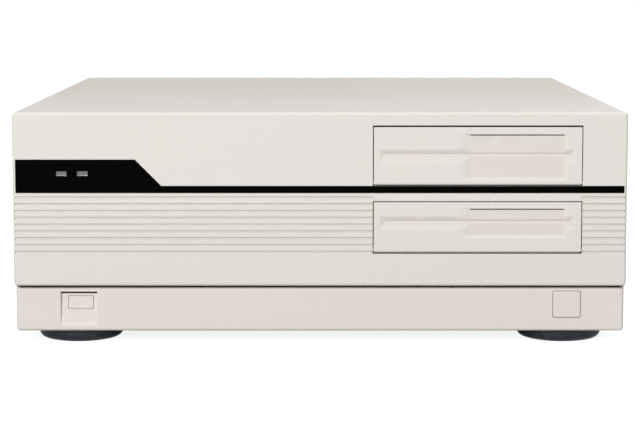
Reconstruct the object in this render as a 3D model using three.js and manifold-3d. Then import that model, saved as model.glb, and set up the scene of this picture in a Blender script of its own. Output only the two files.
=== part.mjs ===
// A low desktop computer: a steel case with a ribbed plastic front, a black stripe with two lamps, two
// drop-down doors, a set-back lower band with two buttons, four round feet, and the works inside.
// Millimetres: +x is the right side seen from the front, +y the back, +z up, with the table top at zero.
import * as THREE from "three";
import { ConvexGeometry } from "three/addons/geometries/ConvexGeometry.js";
import { mergeVertices } from "three/addons/utils/BufferGeometryUtils.js";
import Module from "manifold-3d";

const wasm = await Module();
wasm.setup();

// The whole case
const caseWidth = 442;
const caseDepth = 430;
const bodyHeight = 158;
const footHeight = 12;

// Clearances, cuts and facets
const seatGap = 0.3;
const buttonGap = 0.3;
const doorGap = 0.6;
const runningGap = 0.3;
const overrun = 4;
const mergeTolerance = 0.0001;
const leastRadius = 0.05;
const cornerSteps = 2;
const edgeSteps = 2;
const roundSides = 24;
const smallSides = 10;
const arcSteps = 3;
const half = 0.5;
const quarterTurn = Math.PI / 2;
const fullTurn = 2 * Math.PI;
const turnDegrees = 360;

// Steel shell
const sheet = 1.2;
const coverCornerRadius = 3;
const coverLipWidth = 9;
const rearInset = 5;
const panFlange = 14;
const plateFlange = 10;
const ventCount = 14;
const ventWidth = 4;
const ventHeight = 44;
const ventPitch = 9;
const ventRise = 44;
const ventBackInset = 34;
const screwHeadRadius = 3.4;
const screwHeadHeight = 2.2;
const screwShankRadius = 1.5;
const screwLength = 5;
const screwRise = 112;

// Front fascia
const fasciaDepth = 28;
const fasciaWall = 3;
const skirtWall = 2.4;
const rimDepth = 6;
const rimRadius = 2;
const rimCorner = 2.4;
const valanceHeight = 30.1;
const valanceShadowGap = 2.1;
const grooveCount = 9;
const groovePitch = 4.93;
const grooveWidth = 1.5;
const grooveDepth = 0.9;
const firstGrooveDrop = 3.4;

// Black stripe inlay and its lamps
const topBand = 9.4;
const stripeHeight = 4.8;
const stripeEndInset = 2.4;
const inlayThickness = 1.2;
const inlayRecess = 0.1;
const blockWidth = 85.6;
const blockRise = 19;
const blockSlope = 18.8;
const seamWidth = 0.4;
const seamDepth = 0.3;
const lampWidth = 7.4;
const lampHeight = 3.3;
const lampInset = 35.25;
const lampPitch = 15.1;
const lampRise = 9.05;
const lampFlange = 1.2;
const lampFlangeDepth = 1.5;
const lampBoardInset = 13;
const lampBoardWidth = 44;
const lampBoardHeight = 12;
const boardThickness = 1.6;
const lampBossRadius = 2.2;
const lampBossInset = 4;

// Doors and the bays behind them
const bayInset = 32.3;
const bayWidth = 150.7;
const bayDepth = 20;
const jambWall = 2.4;
const upperDoorHeight = 43.8;
const lowerDoorHeight = 38;
const lowerDoorDrop = 6.1;
const doorThickness = 4;
const hingeInset = 1.8;
const pinRadius = 0.9;
const pinLength = 1.7;
const slotLeftInset = 3.4;
const slotRightInset = 4;
const slotLeftTaper = 4.5;
const slotRightTaper = 6.4;
const slotDepth = 0.98;
const slotUpperFace = 2.8;
const slotLowerFace = 6.8;
const upperSlotDrop = 19.7;
const lowerSlotDrop = 13.5;
const leverRightInset = 12.6;
const leverWidth = 67.4;
const leverDepth = 0.74;
const leverLeftRamp = 7;
const leverRightRamp = 2.1;
const leverFootRamp = 2.4;
const upperLeverDrop = 5.9;
const upperLeverHeight = 33.2;
const lowerLeverDrop = 4.8;
const lowerLeverHeight = 21.4;

// Lower valance with its two buttons
const valanceSetback = 6;
const valanceRimDepth = 4;
const valanceSideInset = 0.6;
const valanceWall = 2;
const valanceTopWall = 1.2;
const valanceLip = 1.8;
const powerInset = 41.9;
const powerRise = 18.45;
const powerWidth = 20;
const powerHeight = 19.3;
const powerCorner = 1.2;
const powerProud = 0.4;
const capDepth = 7;
const capEdge = 0.5;
const stemRadius = 3;
const stemLength = 9;
const switchWidth = 13;
const switchLength = 10;
const switchBoreDepth = 8;
const scoopInset = 32.8;
const scoopWidth = 26.5;
const scoopDrop = 3;
const scoopHeight = 25.1;
const scoopDepth = 3;
const resetWidth = 18.9;
const resetHeight = 9.4;
const resetShift = 1.3;
const resetDrop = 7.4;
const resetProud = 0.3;
const resetDepth = 6;
const resetStemRadius = 2.2;
const resetSwitchWidth = 9;

// Feet
const footRadius = 30;
const footInsetX = 43;
const footInsetY = 45;
const footTaper = 1.6;
const footEdge = 1;
const footRecessRadius = 12;
const footRecessDepth = 5;

// Drive cage and what it carries
const driveWidth = 146;
const driveMargin = 1.25;
const driveLength = 165;
const driveFaceInset = 13;
const cageBoardGap = 8.3;
const cageFoot = 11;
const lowerShelfRise = 54;
const traySlitWidth = 131;
const traySlitHeight = 13.4;
const traySlitDrop = 6;
const traySlitDepth = 8;
const trayFrontThickness = 4;
const trayCorner = 1;
const ejectWidth = 11;
const ejectHeight = 4.4;
const ejectInset = 12;
const ejectRise = 9;
const ejectDepth = 5;
const ejectPocketDepth = 8;
const ejectProud = 0.8;
const diskWidth = 101.6;
const diskLength = 147;
const diskHeight = 26.1;
const diskInset = 58;
const diskCorner = 3;
const diskLidRise = 1.1;
const diskLidSeat = 2.2;

// Front ports behind the lower door
const portPanelInset = 14;
const portPanelThickness = 2;
const portBoardWidth = 96;
const portBoardDepth = 38;
const portBoardRise = 12;
const portArmWidth = 6;
const portArmHeight = 5;
const usbWidth = 14.5;
const usbHeight = 7.2;
const usbLength = 16;
const usbWall = 0.8;
const usbPitch = 26;
const usbTongueHeight = 1.9;
const usbTongueWidth = 11;
const portProud = 0.6;
const jackWidth = 9;
const jackHeight = 8;
const jackRadius = 3.6;
const jackBore = 1.8;

// Motherboard
const boardDepth = 244;
const boardLeftGap = 39.3;
const boardSideGap = 3.3;
const standoffHeight = 6.5;
const standoffRadius = 3.5;
const standoffShares = [0.04, 0.5, 0.93];
const boardRearGap = 2;
const socketSize = 45;
const socketHeight = 6;
const socketInsetX = 76;
const socketInsetY = 88;
const memoryLength = 133.4;
const memoryHeight = 31;
const memoryThickness = 1.4;
const memorySlotWidth = 6.5;
const memorySlotHeight = 8;
const memoryGrip = 4;
const memoryPitch = 11;
const memoryInsetX = 78;
const memoryInsetY = 174;
const cardSlotWidth = 7.5;
const cardSlotHeight = 11;
const cardSlotLength = 89;
const cardSlotInset = 55;
const plugWidth = 52;
const plugDepth = 10;
const plugHeight = 12.5;
const plugInsetX = 38;
const plugInsetY = 234;
const chipSize = 34;
const chipHeight = 9;
const chipInsetX = 74;
const chipInsetY = 196;
const capacitorRadius = 4;
const capacitorHeight = 12;
const capacitorPitch = 14;
const capacitorCount = 4;
const capacitorInsetY = 40;

// Processor cooler
const sinkSize = 80;
const sinkBase = 7;
const sinkHeight = 36;
const finCount = 15;
const finThickness = 1.6;

// Fans, all of one size
const fanSize = 80;
const fanDepth = 25;
const fanFlange = 4;
const fanCorner = 4;
const fanBore = 38;
const fanRing = 39.8;
const fanHub = 17;
const fanHubDisc = 3;
const fanStrut = 4;
const fanPin = 3;
const bladeCount = 7;
const bladeReach = 35.4;
const bladeThickness = 1.4;
const bladeDepth = 15;
const bladeSweep = 17;
const bladeRootShare = 0.62;
const bladeCamber = 2.2;
const bladeSteps = 2;
const bladeRoot = 1;
const rotorDepth = 18;
const rearFanRise = 98;
const rearFanPitch = 83;

// Rear panel
const shieldWidth = 158.75;
const shieldHeight = 44.45;
const shieldInset = 2;
const shieldRise = 10.5;
const shieldThickness = 1;
const portSpacing = 7;
const portSideInset = 8;
const portLength = 20;
const rearPortProud = 2;
const rearUsbWidth = 29;
const rearUsbHeight = 16;
const usbOpeningWidth = 12.6;
const usbOpeningHeight = 5.1;
const usbOpeningDepth = 10;
const networkWidth = 16;
const networkHeight = 13.5;
const networkOpeningWidth = 11.8;
const networkOpeningHeight = 8;
const networkOpeningDepth = 12;
const displayWidth = 15.5;
const displayHeight = 7.5;
const displayOpeningWidth = 13.6;
const displayOpeningHeight = 4.4;
const audioWidth = 38;
const audioHeight = 12.5;
const audioPitch = 12;
const slotPitch = 20.32;
const slotFirstInset = 15;
const slotOpeningWidth = 13;
const slotOpeningHeight = 105;
const slotOpeningRise = 11;
const slotCoverWidth = 18.4;
const slotCoverThickness = 0.9;
const slotCoverMargin = 4;
const slotTabLength = 11;
const slotRibWidth = 5;
const slotRibDepth = 1.2;
const grilleInner = 11;
const grilleSlot = 5;
const grilleBar = 3.4;
const grilleRings = 3;
const grilleArms = 4;

// Power supply
const psuWidth = 150;
const psuDepth = 140;
const psuHeight = 86;
const psuSheet = 1;
const psuInset = 5.4;
const psuMargin = 7;
const psuFanMargin = 3;
const psuFanSide = 6;
const psuFloorGap = 0.3;
const psuBoardRise = 6;
const psuBoardInset = 8;
const psuBossRadius = 3;
const coilSize = 34;
const coilHeight = 36;
const coolerThickness = 3;
const coolerHeight = 48;
const coolerLength = 74;
const psuSideInset = 30;
const inletRise = 20;
const inletWidth = 27;
const inletHeight = 20;
const inletLength = 22;
const inletFlange = 2;
const inletFlangeDepth = 1.6;
const inletRecessWidth = 23.4;
const inletRecessHeight = 16;
const inletRecessDepth = 17;
const inletCorner = 4;
const bladePinWidth = 2;
const bladePinHeight = 4;
const bladePinLength = 11;
const bladePinPitch = 7;
const bladePinLift = 2;
const rockerDrop = 24;
const rockerWidth = 13;
const rockerRadius = 9.3;
const rockerPivotDepth = 3.4;
const rockerDish = 1.6;
const rockerShell = 2;
const rockerBodyDepth = 16;
const rockerTurn = 11 * (Math.PI / 180);
const rockerPin = 1.3;
const rockerPinLength = 1.2;

// Main power cable
const cableRadius = 5;
const cableSides = 8;
const cableSteps = 22;
const cableRise = 42;
const cableInset = 16;

// Planes worked out from the sizes above
const right = caseWidth / 2;
const left = -right;
const front = -caseDepth / 2;
const back = caseDepth / 2;
const bottom = footHeight;
const top = bottom + bodyHeight;
const innerSide = right - sheet - seatGap;
const innerTop = top - sheet - seatGap;
const panTop = bottom + sheet;
const standing = panTop + seatGap;
const chassisFront = front + fasciaDepth;
const plateBack = chassisFront + sheet;
const rearFace = back - rearInset;
const rearInner = rearFace - sheet;
const fasciaBottom = bottom + valanceHeight + valanceShadowGap;
const stripeTop = top - topBand - upperDoorHeight;
const stripeBottom = stripeTop - stripeHeight;
const bayMiddle = right - bayInset - bayWidth / 2;
const bay = around(bayMiddle, bayWidth);
const upperBay = [stripeTop, stripeTop + upperDoorHeight];
const lowerBayTop = stripeBottom - lowerDoorDrop;
const lowerBay = [lowerBayTop - lowerDoorHeight, lowerBayTop];
const lampX = left + lampInset;
const lampMiddle = lampX + lampPitch / 2;
const lampZ = stripeTop + lampRise;
const lampBoardFront = front + lampBoardInset;
const valanceFront = front + valanceSetback;
const valanceTop = bottom + valanceHeight;
const driveBottom = upperBay[0] + driveMargin;
const driveHeight = upperDoorHeight - 2 * driveMargin;
const driveFront = front + driveFaceInset;
const portPanelFront = front + portPanelInset;
const portPanelBack = portPanelFront + portPanelThickness;
const portBoardTop = lowerBay[0] + portBoardRise + boardThickness;
const psuRight = right - psuInset;
const psuLeft = psuRight - psuWidth;
const psuBack = rearInner - seatGap;
const psuFront = psuBack - psuDepth;
const psuBottom = panTop + psuFloorGap;
const psuFanSize = psuHeight - 2 * psuFanMargin;
const boardRight = psuLeft - boardSideGap;
const boardLeft = left + boardLeftGap;
const boardWidth = boardRight - boardLeft;
const boardBack = rearInner - boardRearGap;
const boardFront = boardBack - boardDepth;
const boardBottom = panTop + standoffHeight + seatGap;
const boardTop = boardBottom + boardThickness;
const shield = [boardRight - shieldInset - shieldWidth, boardRight - shieldInset];
const shieldBottom = bottom + shieldRise - standoffHeight / 2;
const socketX = boardRight - socketInsetX;
const socketY = boardBack - socketInsetY;
const sinkBottom = boardTop + socketHeight + seatGap;
const powerX = right - powerInset;
const powerZ = bottom + powerRise;
const scoop = [left + scoopInset, left + scoopInset + scoopWidth];
const scoopTop = valanceTop - scoopDrop;
const resetX = middle(scoop) + resetShift;
const resetZ = scoopTop - resetDrop;

// The two numbers on either side of a middle
function around(centre, size) {
  return [centre - size / 2, centre + size / 2];
}

function middle([low, high]) {
  return (low + high) / 2;
}

function grown([low, high], margin) {
  return [low - margin, high + margin];
}

// Where a push along one axis starts and how far it goes
function from(start, length) {
  return [start, start + length];
}

// A closed geometry as a solid that can be joined and cut
function solid(geometry) {
  const bare = geometry.clone();
  bare.deleteAttribute("normal");
  bare.deleteAttribute("uv");
  const merged = mergeVertices(bare, mergeTolerance);
  const mesh = new wasm.Mesh({
    numProp: 3,
    vertProperties: merged.getAttribute("position").array,
    triVerts: new Uint32Array(merged.getIndex().array),
  });
  return new wasm.Manifold(mesh);
}

function join(solids) {
  return solids.reduce((whole, next) => whole.add(next));
}

function cut(body, cutters) {
  return cutters.reduce((rest, cutter) => rest.subtract(cutter), body);
}

function block([x0, x1], [y0, y1], [z0, z1]) {
  const geometry = new THREE.BoxGeometry(x1 - x0, y1 - y0, z1 - z0);
  geometry.translate((x0 + x1) / 2, (y0 + y1) / 2, (z0 + z1) / 2);
  return solid(geometry);
}

// Turns what was drawn flat and pushed along z so that it runs along the named axis:
// for x the drawing shows y and z, for y it shows x and z.
function lay(geometry, axis, start, length) {
  if (axis === "x") {
    geometry.translate(0, 0, start);
    const y = new THREE.Vector3(0, 1, 0);
    const z = new THREE.Vector3(0, 0, 1);
    const x = new THREE.Vector3(1, 0, 0);
    return geometry.applyMatrix4(new THREE.Matrix4().makeBasis(y, z, x));
  }
  if (axis === "y") {
    geometry.translate(0, 0, -start - length);
    return geometry.rotateX(quarterTurn);
  }
  return geometry.translate(0, 0, start);
}

function drawn(points) {
  return new THREE.Shape(points.map(([across, up]) => new THREE.Vector2(across, up)));
}

function prism(axis, outline, [start, end]) {
  const shape = outline instanceof THREE.Shape ? outline : drawn(outline);
  const settings = { depth: end - start, bevelEnabled: false, curveSegments: arcSteps };
  return solid(lay(new THREE.ExtrudeGeometry(shape, settings), axis, start, end - start));
}

// A round bar or a cone along an axis, through a point given in the other two axes
function rod(axis, [a, b], radius, [start, end], sides = roundSides, endRadius = radius) {
  const geometry = new THREE.CylinderGeometry(endRadius, radius, end - start, sides);
  geometry.translate(0, (start + end) / 2, 0);
  if (axis === "x") return solid(geometry.rotateZ(-quarterTurn).translate(0, a, b));
  if (axis === "y") return solid(geometry.translate(a, 0, b));
  return solid(geometry.rotateX(quarterTurn).translate(a, b, 0));
}

// The convex solid over a set of corners
function hull(corners) {
  return solid(new ConvexGeometry(corners.map((corner) => new THREE.Vector3(...corner))));
}

// A closed skin over rings of points, each ring holding as many points as the next
function loft(rings) {
  const count = rings[0].length;
  const last = (rings.length - 1) * count;
  const index = [];
  for (let ring = 0; ring < last; ring += count) {
    for (let i = 0; i < count; i++) {
      const a = ring + i;
      const b = ring + ((i + 1) % count);
      index.push(a, b, b + count, a, b + count, a + count);
    }
  }
  for (let i = 1; i < count - 1; i++) {
    index.push(0, i + 1, i, last, last + i, last + i + 1);
  }
  const geometry = new THREE.BufferGeometry();
  const places = new Float32Array(rings.flat(2));
  geometry.setAttribute("position", new THREE.BufferAttribute(places, 3));
  geometry.setIndex(index);
  return geometry;
}

// One ring: a rectangle with round corners, at a height over its own plane
function roundedRing([u0, u1], [v0, v1], radius, height) {
  const corner = Math.max(radius, leastRadius);
  const centres = [
    [u1 - corner, v0 + corner],
    [u1 - corner, v1 - corner],
    [u0 + corner, v1 - corner],
    [u0 + corner, v0 + corner],
  ];
  const ring = [];
  centres.forEach(([u, v], side) => {
    for (let step = 0; step <= cornerSteps; step++) {
      const angle = (side - 1 + step / cornerSteps) * quarterTurn;
      ring.push([u + corner * Math.cos(angle), v + corner * Math.sin(angle), height]);
    }
  });
  return ring;
}

// A slab along y whose near edges are rounded over: `edge` is the radius of the rounding
function cushionedSlab(xs, zs, corner, edge, [near, far]) {
  const rings = [];
  for (let step = 0; step <= edgeSteps; step++) {
    const angle = (step / edgeSteps) * quarterTurn;
    const inset = edge * (1 - Math.sin(angle));
    const depth = edge * (1 - Math.cos(angle));
    rings.push(roundedRing(grown(xs, -inset), grown(zs, -inset), corner - inset, -near - depth));
  }
  rings.push(roundedRing(xs, zs, corner, -far));
  return solid(loft(rings.reverse()).rotateX(quarterTurn));
}

// A turned solid about a line along z: the profile runs from the axis back to the axis
function turned(profile, sides = roundSides) {
  const points = profile.map(([radius, height]) => new THREE.Vector2(radius, height));
  return solid(new THREE.LatheGeometry(points, sides).rotateX(quarterTurn));
}

// Finishes, as seen on the real object
const finishes = {
  frontPlastic: { color: 0xe5e1da, roughness: 0.55, metalness: 0 },
  bandPlastic: { color: 0xdcd5ce, roughness: 0.55, metalness: 0 },
  paintedSteel: { color: 0xdcd5ce, roughness: 0.5, metalness: 0.1 },
  blackPlastic: { color: 0x0a0807, roughness: 0.45, metalness: 0 },
  clearPlastic: { color: 0xcfd3d4, roughness: 0.2, metalness: 0 },
  bareSteel: { color: 0x9b9da0, roughness: 0.35, metalness: 0.9 },
  rubber: { color: 0x24262b, roughness: 0.7, metalness: 0 },
  board: { color: 0x1f5a3a, roughness: 0.5, metalness: 0 },
  darkPlastic: { color: 0x1b1c1e, roughness: 0.5, metalness: 0 },
  aluminium: { color: 0xb4b8bc, roughness: 0.35, metalness: 0.9 },
};

const computer = new THREE.Group();

// One named piece of the computer, with a material of its own
function piece(name, finish, body, parent = computer) {
  const cutMesh = body.getMesh();
  const geometry = new THREE.BufferGeometry();
  const places = new Float32Array(cutMesh.vertProperties);
  geometry.setAttribute("position", new THREE.BufferAttribute(places, 3));
  geometry.setIndex(new THREE.BufferAttribute(new Uint32Array(cutMesh.triVerts), 1));
  geometry.computeVertexNormals();
  const mesh = new THREE.Mesh(geometry, new THREE.MeshStandardMaterial(finishes[finish]));
  mesh.name = name;
  parent.add(mesh);
  return mesh;
}

// A group at a place, for a piece that is drawn about its own centre
function groupAt(x, y, z) {
  const group = new THREE.Group();
  group.position.set(x, y, z);
  computer.add(group);
  return group;
}

// Steel shell

function archOutline(halfWidth, low, high, radius) {
  const shape = new THREE.Shape();
  shape.moveTo(-halfWidth, low);
  shape.lineTo(halfWidth, low);
  shape.lineTo(halfWidth, high - radius);
  shape.absarc(halfWidth - radius, high - radius, radius, 0, quarterTurn);
  shape.lineTo(radius - halfWidth, high);
  shape.absarc(radius - halfWidth, high - radius, radius, quarterTurn, Math.PI);
  shape.closePath();
  return shape;
}

// An upright plate that fits inside the cover, over a stretch of the case's depth
function bulkhead(low, length) {
  const outline = archOutline(innerSide, low, innerTop, coverCornerRadius - sheet);
  return prism("y", outline, length);
}

function screwPlaces() {
  const x = right - sheet - coverLipWidth / 2;
  return [-x, x].map((place) => [place, bottom + screwRise]);
}

function topCover() {
  const length = [front + rimDepth + seatGap, back];
  const lipDepth = from(rearFace + seatGap, sheet);
  const outside = archOutline(right, bottom, top, coverCornerRadius);
  const insideRadius = coverCornerRadius - sheet;
  const inside = archOutline(right - sheet, bottom - overrun, top - sheet, insideRadius);
  const opening = archOutline(right - coverLipWidth, bottom - overrun, top - coverLipWidth, insideRadius);
  const tunnel = prism("y", outside, length);
  const lip = prism("y", outside, lipDepth).subtract(prism("y", opening, grown(lipDepth, overrun)));
  const skin = tunnel.subtract(prism("y", inside, grown(length, overrun))).add(lip);
  const notch = block(
    grown([left, right], overrun),
    [front, valanceFront + valanceRimDepth + seatGap],
    [bottom - overrun, fasciaBottom],
  );
  const cutters = [notch];
  for (let i = 0; i < ventCount; i++) {
    const y = back - ventBackInset - i * ventPitch;
    const rise = from(bottom + ventRise, ventHeight);
    cutters.push(block(grown([left, right], overrun), around(y, ventWidth), rise));
  }
  for (const place of screwPlaces()) {
    const hole = screwShankRadius + seatGap;
    cutters.push(rod("y", place, hole, grown(lipDepth, overrun), smallSides));
  }
  return cut(skin, cutters);
}

function coverScrew() {
  const head = [rearFace + seatGap + sheet + seatGap, screwHeadHeight];
  const tip = rearFace - screwLength;
  const body = rod("y", [0, 0], screwHeadRadius, from(...head), roundSides / 2);
  const shank = rod("y", [0, 0], screwShankRadius, [tip, head[0] + screwHeadHeight / 2], smallSides);
  const slotWidth = screwHeadHeight / 3;
  const end = head[0] + screwHeadHeight;
  const across = around(0, 3 * screwHeadRadius);
  const slot = block(across, [end - slotWidth, end + overrun], around(0, slotWidth));
  return body.add(shank).subtract(slot);
}

function basePan() {
  const length = [chassisFront, rearFace];
  const sides = [-innerSide, innerSide];
  const plate = block(sides, length, [bottom, panTop]);
  const flanges = [-1, 1].map((side) => {
    const x = side * (innerSide - sheet / 2);
    const ahead = [plateBack + seatGap, rearInner - seatGap];
    return block(around(x, sheet), ahead, [bottom, bottom + panFlange]);
  });
  const bosses = standoffShares.flatMap((across) =>
    standoffShares.map((along) => {
      const place = [boardLeft + across * boardWidth, boardFront + along * boardDepth];
      return rod("z", place, standoffRadius, [bottom + sheet / 2, panTop + standoffHeight], smallSides);
    }),
  );
  return join([plate, ...flanges, ...bosses]);
}

function frontPlate() {
  const sides = grown([-innerSide, innerSide], -coverCornerRadius);
  const plate = bulkhead(standing, [chassisFront, plateBack]);
  const flange = block(sides, [chassisFront, plateBack + plateFlange], [innerTop - sheet, innerTop]);
  const through = grown([chassisFront, plateBack], overrun);
  const window = block(around(bayMiddle, driveWidth + 2 * seatGap), through, [lowerBay[0], upperBay[1]]);
  const leads = around(lampMiddle, lampBoardWidth / 2);
  const leadHole = block(leads, through, around(lampZ, lampBoardHeight / 2));
  return cut(plate.add(flange), [window, leadHole]);
}

// The arc-shaped openings of a stamped fan grille, about a centre given in x and z
function grilleCutters([x, z], [near, far], size) {
  const scale = size / fanSize;
  const cutters = [];
  for (let ring = 0; ring < grilleRings; ring++) {
    const inner = scale * (grilleInner + ring * (grilleSlot + grilleBar));
    const outer = inner + scale * grilleSlot;
    const innerMargin = Math.asin((scale * grilleBar) / 2 / inner);
    const outerMargin = Math.asin((scale * grilleBar) / 2 / outer);
    for (let arm = 0; arm < grilleArms; arm++) {
      const start = (arm * fullTurn) / grilleArms;
      const end = start + fullTurn / grilleArms;
      const shape = new THREE.Shape();
      shape.absarc(x, z, outer, start + outerMargin, end - outerMargin, false);
      shape.absarc(x, z, inner, end - innerMargin, start + innerMargin, true);
      shape.closePath();
      cutters.push(prism("y", shape, [near, far]));
    }
  }
  return cutters;
}

function rearFanPlaces() {
  const x = middle(shield);
  return [x - rearFanPitch / 2, x + rearFanPitch / 2].map((place) => [place, bottom + rearFanRise]);
}

// As many slots as the board reaches under
function slotPlaces() {
  const first = shield[0] - slotFirstInset;
  const count = 1 + Math.floor((first - boardLeft - cardSlotWidth / 2) / slotPitch);
  return Array.from({ length: Math.max(count, 0) }, (_, i) => first - i * slotPitch);
}

function rearPanel() {
  const plate = bulkhead(standing, [rearInner, rearFace]);
  const through = grown([rearInner, rearFace], overrun);
  const slotRise = from(bottom + slotOpeningRise, slotOpeningHeight);
  const psuOpening = block(
    grown([psuLeft, psuRight], -psuMargin),
    through,
    grown(from(psuBottom, psuHeight), -psuMargin),
  );
  const shieldOpening = block(
    grown(shield, seatGap),
    through,
    grown(from(shieldBottom, shieldHeight), seatGap),
  );
  const slots = slotPlaces().map((x) => block(around(x, slotOpeningWidth), through, slotRise));
  const hole = screwShankRadius + seatGap;
  const screwHoles = screwPlaces().map((place) => rod("y", place, hole, through, smallSides));
  const grilles = rearFanPlaces().flatMap((place) => grilleCutters(place, through, fanSize));
  return cut(plate, [psuOpening, shieldOpening, ...slots, ...screwHoles, ...grilles]);
}

function slotCover(x) {
  const back = rearInner - seatGap;
  const thickness = [back - slotCoverThickness, back];
  const low = bottom + slotOpeningRise - slotCoverMargin;
  const high = bottom + slotOpeningRise + slotOpeningHeight + slotCoverMargin;
  const strip = block(around(x, slotCoverWidth), thickness, [low, high]);
  const tab = block(
    around(x, slotCoverWidth),
    [back - slotTabLength, back],
    [high - slotCoverThickness, high],
  );
  const rib = block(
    around(x, slotRibWidth),
    [back - slotCoverThickness / 2, back + slotRibDepth],
    grown([low, high], -slotCoverMargin * 2),
  );
  return join([strip, tab, rib]);
}

// Front fascia

function grooveHeights() {
  const first = stripeBottom - firstGrooveDrop;
  return Array.from({ length: grooveCount }, (_, i) => first - i * groovePitch);
}

// Thin slabs over the rib zone, less the body that stays inside the grooves
function grooveCutter() {
  const height = [fasciaBottom, top];
  const depth = [front + grooveDepth, front + rimDepth + overrun];
  const core = cushionedSlab(
    grown([left, right], -grooveDepth),
    grown(height, -grooveDepth),
    rimCorner,
    rimRadius,
    depth,
  );
  const slabs = grooveHeights().flatMap((z) => {
    const ahead = [front - overrun, front + rimDepth];
    const rise = around(z, grooveWidth);
    const leftRun = block([left - overrun, bay[0] + seatGap], ahead, rise);
    const rightRun = block([bay[1] - seatGap, right + overrun], ahead, rise);
    return [leftRun, rightRun];
  });
  return join(slabs).subtract(core);
}

function inlayOutline(margin) {
  const start = left + stripeEndInset - margin;
  const end = right - stripeEndInset + margin;
  const blockEnd = left + stripeEndInset + blockWidth + margin / 2;
  const slopeShare = margin / (2 * blockRise);
  const slopeEnd = blockEnd + blockSlope * (1 + slopeShare);
  return [
    [start, stripeBottom - margin],
    [end, stripeBottom - margin],
    [end, stripeTop + margin],
    [slopeEnd, stripeTop + margin],
    [blockEnd, stripeTop + blockRise + margin],
    [start, stripeTop + blockRise + margin],
  ];
}

function lampPlaces() {
  return [lampX, lampX + lampPitch];
}

function bayHinge(low) {
  return [front + hingeInset, low + doorGap + hingeInset];
}

function frontFascia() {
  const rim = cushionedSlab(
    [left, right],
    [fasciaBottom, top],
    rimCorner,
    rimRadius,
    from(front, rimDepth),
  );
  const skirtHeight = [fasciaBottom, innerTop];
  const skirtEnd = chassisFront - seatGap;
  const skirt = bulkhead(fasciaBottom, [front + fasciaWall, skirtEnd]);
  const hollow = block(
    grown([-innerSide, innerSide], -skirtWall),
    [front + fasciaWall, chassisFront + overrun],
    grown(skirtHeight, -skirtWall),
  );
  const frameHeight = grown([lowerBay[0], upperBay[1]], jambWall);
  const frame = block(grown(bay, jambWall), [front + fasciaWall / 2, front + bayDepth], frameHeight);
  const bosses = [-1, 1].map((side) => {
    const place = [lampMiddle + side * (lampBoardWidth / 2 - lampBossInset), lampZ];
    return rod("y", place, lampBossRadius, [front + fasciaWall / 2, lampBoardFront - seatGap], smallSides);
  });
  const tunnel = [front - overrun, front + bayDepth + overrun];
  const lampHoles = lampPlaces().map((x) => {
    const across = around(x, lampWidth + 2 * seatGap);
    return block(across, grown(from(front, fasciaWall), overrun), around(lampZ, lampHeight + 2 * seatGap));
  });
  const pinReach = pinLength + runningGap;
  const pinHoles = [upperBay[0], lowerBay[0]].map((low) =>
    rod("x", bayHinge(low), pinRadius + runningGap, grown(bay, pinReach), smallSides),
  );
  const seatDepth = inlayRecess + inlayThickness + seatGap;
  return cut(join([cut(rim.add(skirt), [hollow]), frame, ...bosses]), [
    block(bay, tunnel, upperBay),
    block(bay, tunnel, lowerBay),
    prism("y", inlayOutline(seatGap), [front - overrun, front + seatDepth]),
    ...lampHoles,
    ...pinHoles,
    grooveCutter(),
  ]);
}

function stripeInlay() {
  const face = front + inlayRecess;
  const plate = prism("y", inlayOutline(0), from(face, inlayThickness));
  const lampHoles = lampPlaces().map((x) => {
    const across = around(x, lampWidth + 2 * seatGap);
    return block(across, grown(from(face, inlayThickness), overrun), around(lampZ, lampHeight + 2 * seatGap));
  });
  const seams = bay.map((x) => {
    const rise = grown([stripeBottom, stripeTop], overrun);
    return block(around(x, seamWidth), [face - overrun, face + seamDepth], rise);
  });
  return cut(plate, [...lampHoles, ...seams]);
}

function lampPipe(x) {
  const length = [front + inlayRecess, lampBoardFront - seatGap];
  const pipe = block(around(x, lampWidth), length, around(lampZ, lampHeight));
  const flangeStart = front + fasciaWall + seatGap;
  const flange = block(
    around(x, lampWidth + 2 * lampFlange),
    from(flangeStart, lampFlangeDepth),
    around(lampZ, lampHeight + 2 * lampFlange),
  );
  return pipe.add(flange);
}

function lampBoard() {
  const across = around(lampMiddle, lampBoardWidth);
  return block(across, from(lampBoardFront, boardThickness), around(lampZ, lampBoardHeight));
}

// Doors, each drawn about its own hinge line

// A shallow slot with a sharp bottom line whose ends taper out to the face
function slotCutter([x0, x1], crease, face) {
  const corners = [x0, x1].flatMap((x) => [
    [x, face - seatGap, crease + slotUpperFace * (1 + seatGap / slotDepth)],
    [x, face - seatGap, crease - slotLowerFace * (1 + seatGap / slotDepth)],
  ]);
  const ends = [x0 + slotLeftTaper, x1 - slotRightTaper].map((x) => [x, face + slotDepth, crease]);
  return hull([...corners, ...ends]);
}

// A finger recess: a flat floor under a square top edge, with ramps at both sides and at its foot
function leverCutter([x0, x1], high, height, face) {
  const spread = 1 + seatGap / leverDepth;
  const foot = high - height + leverFootRamp;
  const mouth = [x0 - leverLeftRamp * spread, x1 + leverRightRamp * spread];
  const corners = [
    ...mouth.map((x) => [x, face - seatGap, high]),
    ...mouth.map((x) => [x, face - seatGap, foot - leverFootRamp * spread]),
    ...[x0, x1].map((x) => [x, face + leverDepth, high]),
    ...[x0, x1].map((x) => [x, face + leverDepth, foot]),
  ];
  return hull(corners);
}

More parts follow.
